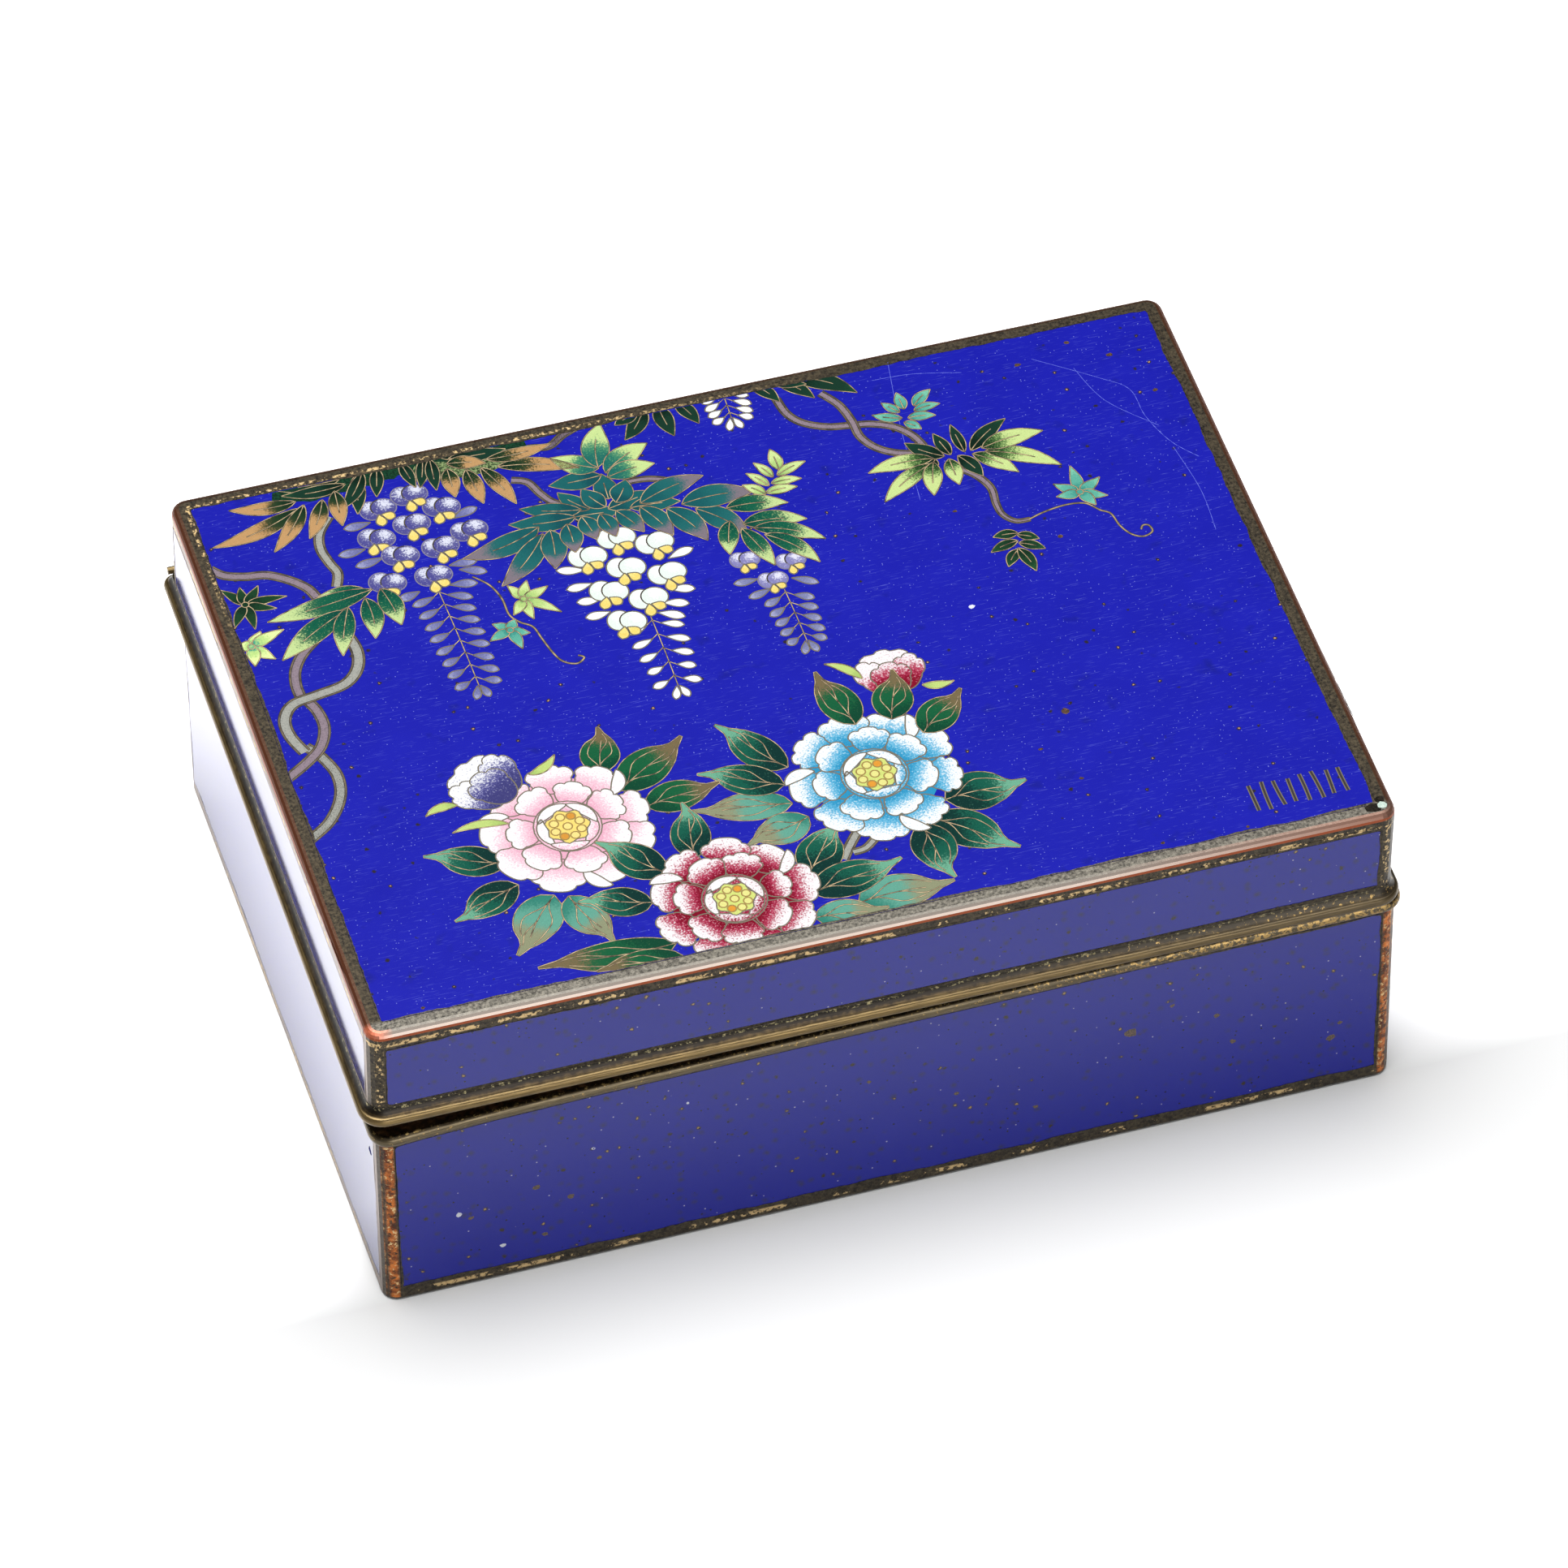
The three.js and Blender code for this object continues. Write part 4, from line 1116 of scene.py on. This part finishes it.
def worn_copper(name, seat, flecks_at, streak, rust_from):
    """Sheet copper with a dark, sandy patina, red along its outer edge, and with what is left of its
    gilding in a broken line along each border. Light is painted on it: a lighter grey sheen on the front's
    flat border, a highlight along the front's rounded edge and a pale sheen on the left side's walls."""
    material, add, place = finish(name, 0.42, 0.7)
    back_home = seat.inverted()
    home = add("Mapping", place, back_home.translation, back_home.to_euler())
    aside, forward, height = add("SeparateXYZ", home).outputs
    side, end = HALF_WIDTH * MM, HALF_DEPTH * MM
    from_side, from_front = (
        add("Math", half, add("Math", value, operation="ABSOLUTE"), operation="SUBTRACT")
        for half, value in ((side, aside), (end, forward)))
    from_corner = add("Math", from_side, from_front, operation="MAXIMUM")
    from_edge = add("Math", from_side, from_front, operation="MINIMUM")
    _, backward, upward = add("SeparateXYZ", add("TexCoord").outputs["Normal"]).outputs

    def band(value, middle, half):
        """A soft-edged band, half millimetres to each side of its middle."""
        away = add("Math", add("Math", value, middle * MM, operation="SUBTRACT"), operation="ABSOLUTE")
        return add("MapRange", away, half * MM, half * MM * 0.55)

    crumbs = add("TexNoise", place, 1 / (0.6 * MM), 4.0, 0.65)
    wall = add("MapRange", add("Math", upward, operation="ABSOLUTE"), 0.2, 0.05)
    sideways_on = add("Math", backward, operation="ABSOLUTE")

    sand = patches(add, place, 0.42, 0.36, 0.66, 4.0, 0.75)
    brown = coats(add, metal("#100d0a"), (sand, metal("#4c4333")))
    grey = coats(add, metal("#2b2925"), (sand, metal("#7f7a6f")))
    to_front = add("MapRange", forward, -(HALF_DEPTH - 2.6) * MM, -(HALF_DEPTH - 1.9) * MM)
    # Painted highlight along the front's rounded edge: darker where the edge turns flat, browner towards the
    # right end, redder at the left end.
    painted_front_highlight = coats(
        add, metal("#887b72"),
        (add("MapRange", upward, 0.6, 0.95), metal("#48443e")),
        (add("MapRange", aside, 0.4 * side, 0.95 * side), metal("#5f4236")),
        (add("MapRange", aside, -0.95 * side, -0.99 * side), metal("#a4573c")))
    # The rounded edge: brown copper, and in front the painted highlight.
    rubbed = coats(add, metal("#522b18"), (to_front, painted_front_highlight))
    turned = meet(add, add("MapRange", upward, 0.05, 0.3), add("MapRange", upward, 0.994, 0.97))
    red = meet(add, add("MapRange", upward, 0.03, 0.12), add("MapRange", upward, 0.5, 0.3))
    at_left_end = add("MapRange", aside, -60 * MM, -62 * MM, 0.0, 0.5)
    # Painted pale sheen on the walls of the left side.
    polished = meet(add, wall, add("MapRange", sideways_on, 0.5, 0.2), at_left_end)
    # In front the flat border is painted a lighter sandy grey, a painted sheen.
    ground = coats(
        add, brown,
        (meet(add, to_front, add("MapRange", upward, 0.3, 0.6)), grey),
        (turned, rubbed),
        (red, metal("#7a3a1e")),
        (polished, metal("#a08f86")))

    bright = coats(add, metal("#7c5c34"), (crumbs, metal("#dcc18c")))
    rust = coats(add, metal("#4a1f0d"), (patches(add, place, 1.3, 0.38, 0.62, 3.0), metal("#b9692c")))
    along_corner = band(from_corner, 1.3, streak)
    corner_line = meet(add, along_corner, wall, add("MapRange", sideways_on, 0.6, 0.72))
    level_line = meet(add, band(height, flecks_at, 0.42), wall, add("MapRange", crumbs, 0.42, 0.5))
    broken = add("Math", crumbs, add("TexNoise", place, 1 / (5.0 * MM), 1.0), operation="ADD")
    fuller_left = add("MapRange", aside, -0.7 * side, -0.4 * side, 0.0, 0.07)
    sparser = add("Math", broken, fuller_left, operation="SUBTRACT")
    flat_line = meet(
        add, band(from_edge, 1.85, 0.32), add("MapRange", upward, 0.9, 0.99),
        add("MapRange", forward, 0.4 * end, 0.8 * end), add("MapRange", aside, 0.3 * side, -0.2 * side))
    paint(material, coats(
        add, ground,
        (meet(add, corner_line, add("MapRange", crumbs, rust_from, rust_from + 0.08)), rust),
        (meet(add, corner_line, add("MapRange", crumbs, 0.56, 0.62)), bright),
        (meet(add, level_line, add("MapRange", sparser, 1.0, 1.03)), bright),
        (meet(add, flat_line, add("MapRange", crumbs, 0.5, 0.58)), bright)))
    return material


def shaded_copper():
    """The bare copper inside the mouth, painted nearly black: a painted shade."""
    material, add, place = finish("shaded_copper", 0.6, 0.5)
    paint(material, clouds(add, place, 2.0, 4.0, metal("#1c140d"), metal("#4a3826")))
    return material


def hinge_brass():
    """Dull brass tube and rod, brown with handling."""
    material, add, place = finish("hinge_brass", 0.38, 0.85)
    paint(material, clouds(add, place, 3.0, 4.0, metal("#3d3020"), metal("#7f6d47")))
    return material


def moulding_brass(name, stops, speckle, gilding):
    """Brass drawn through a die: long streaks, a colour for each part of its profile, which holds painted
    shade and highlight as well as its patina, dark crumbs in its hollows, and what is left of its gilding
    towards the right. speckle and gilding give where on the profile they lie."""
    material, add, place = finish(name, 0.4, 0.75)
    parts = add("SeparateXYZ", add("Attribute", attribute_name="fade").outputs["Vector"]).outputs
    shaken = add("Math", parts["X"], patches(add, place, 0.8, 0.3, 0.7, 3.0, most=0.08), operation="ADD")
    profile_patina_and_painted_light = add("ValToRGB", shaken, stops=[(at, hex_colour(code)) for at, code in stops])
    drawn = add("CombineXYZ", *(add("Math", parts[axis], pull, operation="MULTIPLY")
                                for axis, pull in (("X", 9.0), ("Y", 0.07))))
    streaks = add("MapRange", add("TexNoise", drawn, 3.0, 5.0, 0.65), 0.38, 0.62)
    shade = coats(add, opaque((0.45, 0.43, 0.40)), (streaks, opaque((1.25, 1.25, 1.25))))
    crumbs = add("TexNoise", place, 1 / (0.5 * MM), 3.0, 0.7)

    def part_of_profile(low, high):
        rising = add("MapRange", parts["X"], low - 0.05, low)
        return meet(add, rising, add("MapRange", parts["X"], high + 0.05, high))

    low, high, code = speckle
    in_hollow = part_of_profile(low, high)
    low, high, sparseness = gilding
    to_right = add("MapRange", add("SeparateXYZ", place).outputs["X"], 0.0, 0.8 * HALF_WIDTH * MM)
    kept = add("Math", crumbs, meet(add, to_right, 0.16), operation="ADD")
    gilt = add("MapRange", kept, sparseness, sparseness + 0.06)
    paint(material, coats(
        add, add("Mix", 1.0, profile_patina_and_painted_light, shade, data_type="RGBA", blend_type="MULTIPLY"),
        (meet(add, in_hollow, add("MapRange", crumbs, 0.54, 0.62)), metal(code)),
        (meet(add, in_hollow, add("MapRange", crumbs, 0.44, 0.36)), metal("#17120c")),
        (meet(add, to_right, 0.55), metal("#38332a")),
        (meet(add, part_of_profile(low, high), gilt), metal("#8f7546"))))
    return material


# Painted light and shade on the floor, by share of the way from FLOOR_FROM to FLOOR_TO: grey before the box's
# front, bright from beside it backwards.
FLOOR_FROM = -0.15
FLOOR_TO = 0.05
FLOOR_PAINTED_LIGHT_AND_SHADE = ((0.0, 0.55), (0.14, 0.55), (0.3, 0.39), (0.52, 0.35), (0.6, 0.88), (0.9, 0.96))


def white_floor():
    """White paper, lit so that it burns out, with light and shade painted on: greyer in front, darkest at the
    box's front, which mirrors it, and brighter from beside the box backwards, which its left side mirrors.
    """
    material, add, place = finish("white_floor", 0.9)
    forward = add("MapRange", add("SeparateXYZ", place).outputs["Y"], FLOOR_FROM, FLOOR_TO)
    paint(material, add("ValToRGB", forward, stops=[(at, (shade,) * 3) for at, shade in FLOOR_PAINTED_LIGHT_AND_SHADE]))
    return material


# Places on the part


def panel_place(name):
    """The place of an enamel panel, with X along its face, Y up or back over it and Z out of it, and its
    half sizes."""
    mesh = frame["nodes"][name].data
    corners = [vertex.co for vertex in mesh.vertices]
    outward = sum(corners, Vector()) / len(corners) - BOX_MIDDLE
    outer_faces = [face for face in mesh.polygons if face.normal.dot(outward) > 0]
    facing = max(outer_faces, key=lambda face: face.area).normal
    level_faces = [face for face in mesh.polygons if face.normal.dot(facing) > 0.999]
    normal = sum((face.normal * face.area for face in level_faces), Vector()).normalized()
    right = Vector((1, 0, 0)) if abs(normal.z) > 0.5 else Vector((0, 0, 1)).cross(normal)
    right = (right - normal * right.dot(normal)).normalized()
    up = normal.cross(right)
    aside, above, out = ([corner.dot(axis) for corner in corners] for axis in (right, up, normal))
    centre = (right * (min(aside) + max(aside)) + up * (min(above) + max(above))) / 2
    place = Matrix((right, up, normal)).transposed().to_4x4()
    place.translation = centre + normal * max(out)
    return place, *((max(reach) - min(reach)) / 2 / MM for reach in (aside, above))


LID_TOP = panel_place("lid_enamel_top")[0]
LID_SEAT = LID_TOP @ Matrix.Translation((0, 0, -LID_HEIGHT * MM))
BASE_SEAT = Matrix.Identity(4)


# Mouldings


def plan_loop(reach):
    """The box's plan, grown by reach, as places along it: x, y and how far along it they lie, in
    millimetres."""
    corners = []
    for corner, (side_x, side_y) in enumerate(((1, 1), (-1, 1), (-1, -1), (1, -1))):
        radius = max((BACK_RADIUS if side_y > 0 else CORNER_RADIUS) + reach, 0.1)
        middle = (side_x * (HALF_WIDTH + reach - radius), side_y * (HALF_DEPTH + reach - radius))
        angles = [(corner + step / CORNER_STEPS) * math.pi / 2 for step in range(CORNER_STEPS + 1)]
        corners.append([polar(middle, angle, radius) for angle in angles])
    loop = []
    for turn, after in zip(corners, corners[1:] + corners[:1]):
        loop.extend(turn)
        loop.extend(along(turn[-1], after[0], step / SIDE_STEPS) for step in range(1, SIDE_STEPS))
    return loop


def sink(x, y):
    """How far the base's rim is pushed down at a place: it leans to the front left and is dented at that
    corner."""
    nearness = min(max(0.5 - x / (2 * HALF_WIDTH), 0), 1) * min(max(0.5 - y / (2 * HALF_DEPTH), 0), 1)
    return RIM_LEAN * nearness + RIM_DENT * nearness ** DENT_POWER


def moulding(name, profile, seat, material, body, stands_for, sinks=False):
    """A moulding round the box. profile gives its reach and height at each point, from its top inner edge
    round to its lower inner edge."""
    points, shares = [], []
    outer = plan_loop(0)
    run = [0.0]
    for before, after in zip(outer, outer[1:]):
        run.append(run[-1] + span(before, after))
    for row, (reach, height) in enumerate(profile):
        for index, (x, y) in enumerate(plan_loop(reach)):
            sunk = sink(*outer[index]) if sinks else 0.0
            points.append(seat @ (Vector((x, y, height - sunk)) * MM))
            shares.append((row / (len(profile) - 1), run[index], 0.0))
    count = len(outer)
    faces = []
    for row in range(len(profile)):
        here, below = row * count, (row + 1) % len(profile) * count
        for index in range(count):
            after = (index + 1) % count
            faces.append((here + index, below + index, below + after, here + after))
    piece = add_piece(name, points, faces, {"fade": shares}, material)
    piece.data.shade_smooth()
    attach(piece, body)
    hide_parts(stands_for)


def half_round():
    """The turns down a half round, from straight up to straight down."""
    return [(0.5 - step / ROUND_STEPS) * math.pi for step in range(ROUND_STEPS + 1)]


def lid_moulding():
    """A bead under a hollow slope, round the lid's foot."""
    nose = LID_RIM_HEIGHT * LID_NOSE
    profile = [(LID_RIM_INNER, LID_RIM_HEIGHT)]
    for share in SLOPE_SHARES:
        reach = LID_RIM_REACH * (1 - LID_ROUND) * share ** SLOPE_HOLLOW
        profile.append((reach, nose + (LID_RIM_HEIGHT - nose) * (1 - share)))
    for angle in half_round():
        reach = LID_RIM_REACH * (1 - LID_ROUND * (1 - math.cos(angle)))
        profile.append((reach, nose * (0.5 + math.sin(angle) / 2)))
    profile.append((LID_RIM_INNER, 0.0))
    # Colours along the profile: near black down the hollow slope; lighter over the bead's top and outer face,
    # a painted highlight where it faces the light; darker at its underside.
    brass = moulding_brass("lid_moulding_brass", [
        (0.0, "#12100b"), (0.08, "#1d1b13"), (0.15, "#120d07"), (0.3, "#1a130a"), (0.37, "#40331f"),
        (0.46, "#625233"), (0.58, "#5f4e2e"), (0.75, "#6f5d3a"), (0.86, "#7b6d50"), (0.94, "#463b28"),
    ], speckle=(0.0, 0.14, "#7d7454"), gilding=(0.18, 0.32, 0.73))
    moulding("lid_moulding", profile, LID_SEAT, brass, "lid", "lid_rim")


def base_moulding():
    """A half round at the base's mouth, with a flat shelf inside it."""
    foot = BASE_HEIGHT - BASE_RIM_HEIGHT
    profile = [(BASE_RIM_INNER, BASE_HEIGHT)]
    for angle in half_round():
        height = foot + BASE_RIM_HEIGHT * (0.5 + math.sin(angle) / 2)
        profile.append((BASE_RIM_REACH * math.cos(angle), height))
    profile.append((BASE_RIM_INNER, foot))
    # Colours along the profile: brown on the shelf inside; a dark band over the half round's top, painted
    # shade under the lid's bead; lighter down its face and darker at its foot.
    brass = moulding_brass("base_moulding_brass", [
        (0.0, "#9a6a44"), (0.06, "#6a4a2e"), (0.12, "#2c2217"), (0.24, "#392e1b"), (0.36, "#534935"),
        (0.6, "#5f5541"), (0.86, "#5a4e38"), (0.95, "#2a2318"),
    ], speckle=(0.11, 0.2, "#98804f"), gilding=(0.26, 0.6, 0.62))
    moulding("base_moulding", profile, BASE_SEAT, brass, "base", "base_rim", sinks=True)


# Wear


def ragged_border(name, panel, body, material, reach):
    """The metal's uneven edge along a panel: a thin ring whose inner side wanders over the enamel."""
    place, half_x, half_y = panel_place(panel)
    sheet = Sheet(half_x, half_y)
    corners = [(half_x, half_y), (-half_x, half_y), (-half_x, -half_y), (half_x, -half_y)]
    outer, inner = [], []
    wander = reach / 2
    for start, end in zip(corners, corners[1:] + corners[:1]):
        steps = int(span(start, end) / BORDER_STEP)
        for step in range(steps):
            x, y = along(start, end, step / steps)
            wander = min(max(wander + random.uniform(-0.3, 0.3) * reach, BORDER_LEAST), reach)
            outer.append(sheet.point((x, y), BORDER_LEVEL))
            inner.append(sheet.point((x * (1 - wander / half_x), y * (1 - wander / half_y)), BORDER_LEVEL))
    sheet.strip(inner + inner[:1], outer + outer[:1])
    sheet.build(name, place, material, "copper_body", body)


def chip(sheet, place, size, tones, level=CHIP_LEVEL):
    """A flake of another enamel or a bare spot, small and irregular."""
    outline = []
    for step in range(CHIP_CORNERS):
        turn = math.tau * step / CHIP_CORNERS
        outline.append((place[0] + size * random.uniform(0.6, 1.1) * math.cos(turn),
                        place[1] + size * random.uniform(0.5, 0.9) * math.sin(turn)))
    lay_disc(sheet, outline, level, tones, lambda spot: (0.4, 0.0), 0.6)


def chips(sheet, flakes, tones, middle=0.0):
    """Chips of one enamel, each given by its place and its size. Their heights are measured from middle."""
    for x, y, size in flakes:
        chip(sheet, (x, y - middle), size, tones)


WHITE_CHIP = glasses("#f2f4fa", "#cdd4ea", "#ffffff")
BROWN_PIT = glasses("#3a2d28", "#8a6a50", "#2a211c")
DARK_CHIP = glasses("#15120f", "#3c362c", "#15120f")
VERDIGRIS = glasses("#dfeee4", "#a8c8b4", "#dfeee4")
COBALT = (glass("#1417a6"),) * 3


def top_wear():
    """The long scratches at the right of the lid, its white chip, its larger pits and its broken corner."""
    sheet = Sheet(HALF_WIDTH - CORNER_RADIUS / 2, HALF_DEPTH - CORNER_RADIUS / 2)
    pale = (glass("#6f7be2"),) * 3
    for line in ([(25.0, 41.5), (30.0, 41.2), (36.0, 39.7)], [(27.8, 44.0), (26.0, 33.0), (24.5, 20.0)],
                 [(45.0, 39.5), (52.0, 34.0), (55.0, 31.0), (55.4, 26.0), (57.0, 21.0), (59.5, 17.5)],
                 [(57.0, 20.0), (57.9, 12.0), (57.5, 5.0)], [(49.5, 36.5), (51.5, 30.0), (56.5, 24.0)]):
        spine = smooth_line(line)
        halves = [max(SCRATCH_HALF + SCRATCH_SWELL * math.sin(3.1 * index), SCRATCH_LEAST)
                  for index in range(len(spine))]
        lay_blade(sheet, spine, halves, SCRATCH_LEVEL, pale, lambda s, across: (0.0, 0.0), 0.0)
    chip(sheet, (25.0, 1.0), 0.5, WHITE_CHIP)
    chips(sheet, [(30.6, -18.8, 0.7), (25.8, -24.0, 0.35), (29.0, -29.9, 0.35), (43.0, 39.0, 0.5),
                  (39.0, 9.3, 0.45), (54.5, 37.5, 0.5), (50.0, 41.0, 0.4), (-56.0, -43.0, 0.3),
                  (45.5, -43.0, 0.3), (35.0, -42.6, 0.35), (28.0, 17.0, 0.35), (58.0, 30.0, 0.4)], BROWN_PIT)
    chip(sheet, (60.8, -44.3), 1.15, DARK_CHIP, BORDER_LEVEL + 2)
    chip(sheet, (61.8, -43.3), 0.8, DARK_CHIP, BORDER_LEVEL + 3)
    chip(sheet, (62.0, -44.2), 0.72, VERDIGRIS, BORDER_LEVEL + 4)
    sheet.build("top_wear", LID_TOP, PICTURE, "cobalt_enamel", "lid")


def base_wear():
    """The white chips and the larger pits of the base's front, and the blue chip of its left side."""
    place, half_x, half_y = panel_place("base_enamel_front")
    middle = place.translation.z / MM
    sheet = Sheet(half_x, half_y)
    chips(sheet, [(-54.0, 12.6, 0.5), (-48.7, 5.5, 0.5), (-37.2, 18.8, 0.32), (-25.5, 23.0, 0.25)],
          WHITE_CHIP, middle)
    chip(sheet, (-37.2, 18.8 - middle), 0.17, COBALT, CHIP_LEVEL + 1)
    chips(sheet, [(29.9, 17.6, 1.0), (55.5, 8.8, 0.8), (-44.4, 14.3, 0.6), (-40.2, 11.4, 0.6),
                  (-43.5, 5.8, 0.5), (-52.5, 11.6, 0.45), (40.7, 17.3, 0.5), (35.1, 20.8, 0.4),
                  (56.6, 11.1, 0.4), (42.9, 12.1, 0.5), (-36.5, 17.0, 0.4), (-12.0, 9.0, 0.4),
                  (8.0, 14.0, 0.4), (18.0, 8.5, 0.45), (-3.0, 19.5, 0.35)], BROWN_PIT, middle)
    sheet.build("base_wear", place, PICTURE, "cobalt_enamel", "base")
    place, half_x, half_y = panel_place("base_enamel_left")
    sheet = Sheet(half_x, half_y)
    chip(sheet, (42.1, 22.8 - middle), 0.85, COBALT)
    sheet.build("base_wear_left", place, chipped_cobalt(), "cobalt_enamel", "base")


PICTURE = picture_enamel()
LID_COPPER = worn_copper("lid_copper", LID_SEAT, flecks_at=LID_HEIGHT - 1.75, streak=0.6, rust_from=0.9)
BASE_COPPER = worn_copper("base_copper", BASE_SEAT, flecks_at=1.15, streak=0.7, rust_from=0.38)
FINISHES = {
    "lid_body": LID_COPPER,
    "base_body": BASE_COPPER,
    "base_collar": shaded_copper(),
    "lid_enamel_top": top_enamel(),
}
HINGE_BRASS = hinge_brass()
BY_SLOT = {
    "cobalt_enamel": wall_enamel(),
    "copper_body": BASE_COPPER,
    "brass_mouldings": HINGE_BRASS,
    "brass_hinge": HINGE_BRASS,
}
for row in frame["record"]["subparts"]:
    mesh = frame["nodes"][row["node"]].data
    mesh.materials.clear()
    mesh.materials.append(FINISHES.get(row["node"], BY_SLOT[row["material_slot"]]))

for sheet, name in ((stems, "picture_stems"), (leaves, "picture_leaves"), (petals, "picture_petals")):
    sheet.build(name, LID_TOP, PICTURE, "cobalt_enamel", "lid")
wires.build("picture_wires", LID_TOP, cloison_wire(), "brass_mouldings", "lid")
lid_moulding()
base_moulding()
top_wear()
base_wear()
ragged_border("border_lid_top", "lid_enamel_top", "lid", LID_COPPER, 0.35)
for side in ("front", "right", "back", "left"):
    ragged_border("border_lid_" + side, "lid_enamel_" + side, "lid", LID_COPPER, 0.3)
    ragged_border("border_base_" + side, "base_enamel_" + side, "base", BASE_COPPER, 0.3)


# The studio


# The photograph's view: the camera's own axes, its place in millimetres, and its lens for a film of this
# width.
VIEW_AXES = (
    (0.95685628, -0.29047391, -0.0071395),
    (0.21158641, 0.67973006, 0.70228074),
    (-0.1991413, -0.67349236, 0.71186431),
)
VIEW_PLACE = (-260.785, -883.343, 958.225)
VIEW_LENS = 247.08
VIEW_FILM = 36

# The studio, in metres: half the paper's width, and each light's place, aim, size and power.
PAPER_HALF = 2.5
LIGHTS = {
    "overhead": ((-0.12, 0.03, 1.4), (0, 0, 0), 1.15, 58),
    "front": ((0.1, -1.4, 0.55), (0, 0, 0.02), 0.8, 16),
}
MIRRORED_BY_TOP = Vector((0.2, 0.67, 0.71)).normalized()


def place_camera():
    """A long lens, from the front and a little to the left, looking down by half a right angle."""
    data = bpy.data.cameras.new("camera")
    data.sensor_width = VIEW_FILM
    data.lens = VIEW_LENS
    camera = bpy.data.objects.new("camera", data)
    bpy.context.scene.collection.objects.link(camera)
    stand = Matrix.Translation(Vector(VIEW_PLACE) * MM)
    camera.matrix_world = stand @ Matrix(VIEW_AXES).transposed().to_4x4()
    bpy.context.scene.camera = camera


def soft_light(name, place, target, size, power):
    data = bpy.data.lights.new(name, "AREA")
    data.shape = "DISK"
    data.size = size
    data.energy = power
    light = bpy.data.objects.new(name, data)
    bpy.context.scene.collection.objects.link(light)
    light.location = place
    light.rotation_euler = (Vector(target) - Vector(place)).to_track_quat("-Z", "Y").to_euler()


def make_studio():
    """A box of soft light: white paper below, a wide soft light above, and a dark gap where the lid's top
    would mirror it."""
    corners = [(x * PAPER_HALF, y * PAPER_HALF, 0) for x, y in ((-1, -1), (1, -1), (1, 1), (-1, 1))]
    floor = add_piece("floor", corners, [(0, 1, 2, 3)], {}, white_floor())
    for name, light in LIGHTS.items():
        soft_light(name, *light)
    world = bpy.data.worlds.new("studio")
    bpy.context.scene.world = world
    world.use_nodes = True
    tree = world.node_tree
    way = node(tree, "TexCoord").outputs["Generated"]
    facing = node(tree, "VectorMath", way, MIRRORED_BY_TOP, operation="DOT_PRODUCT")
    glow = node(tree, "MapRange", facing, 0.55, 0.93, 0.85, 0.3)
    tree.links.new(glow.outputs[0], tree.nodes["Background"].inputs["Strength"])
    bpy.context.scene.view_settings.view_transform = "Standard"


place_camera()
make_studio()
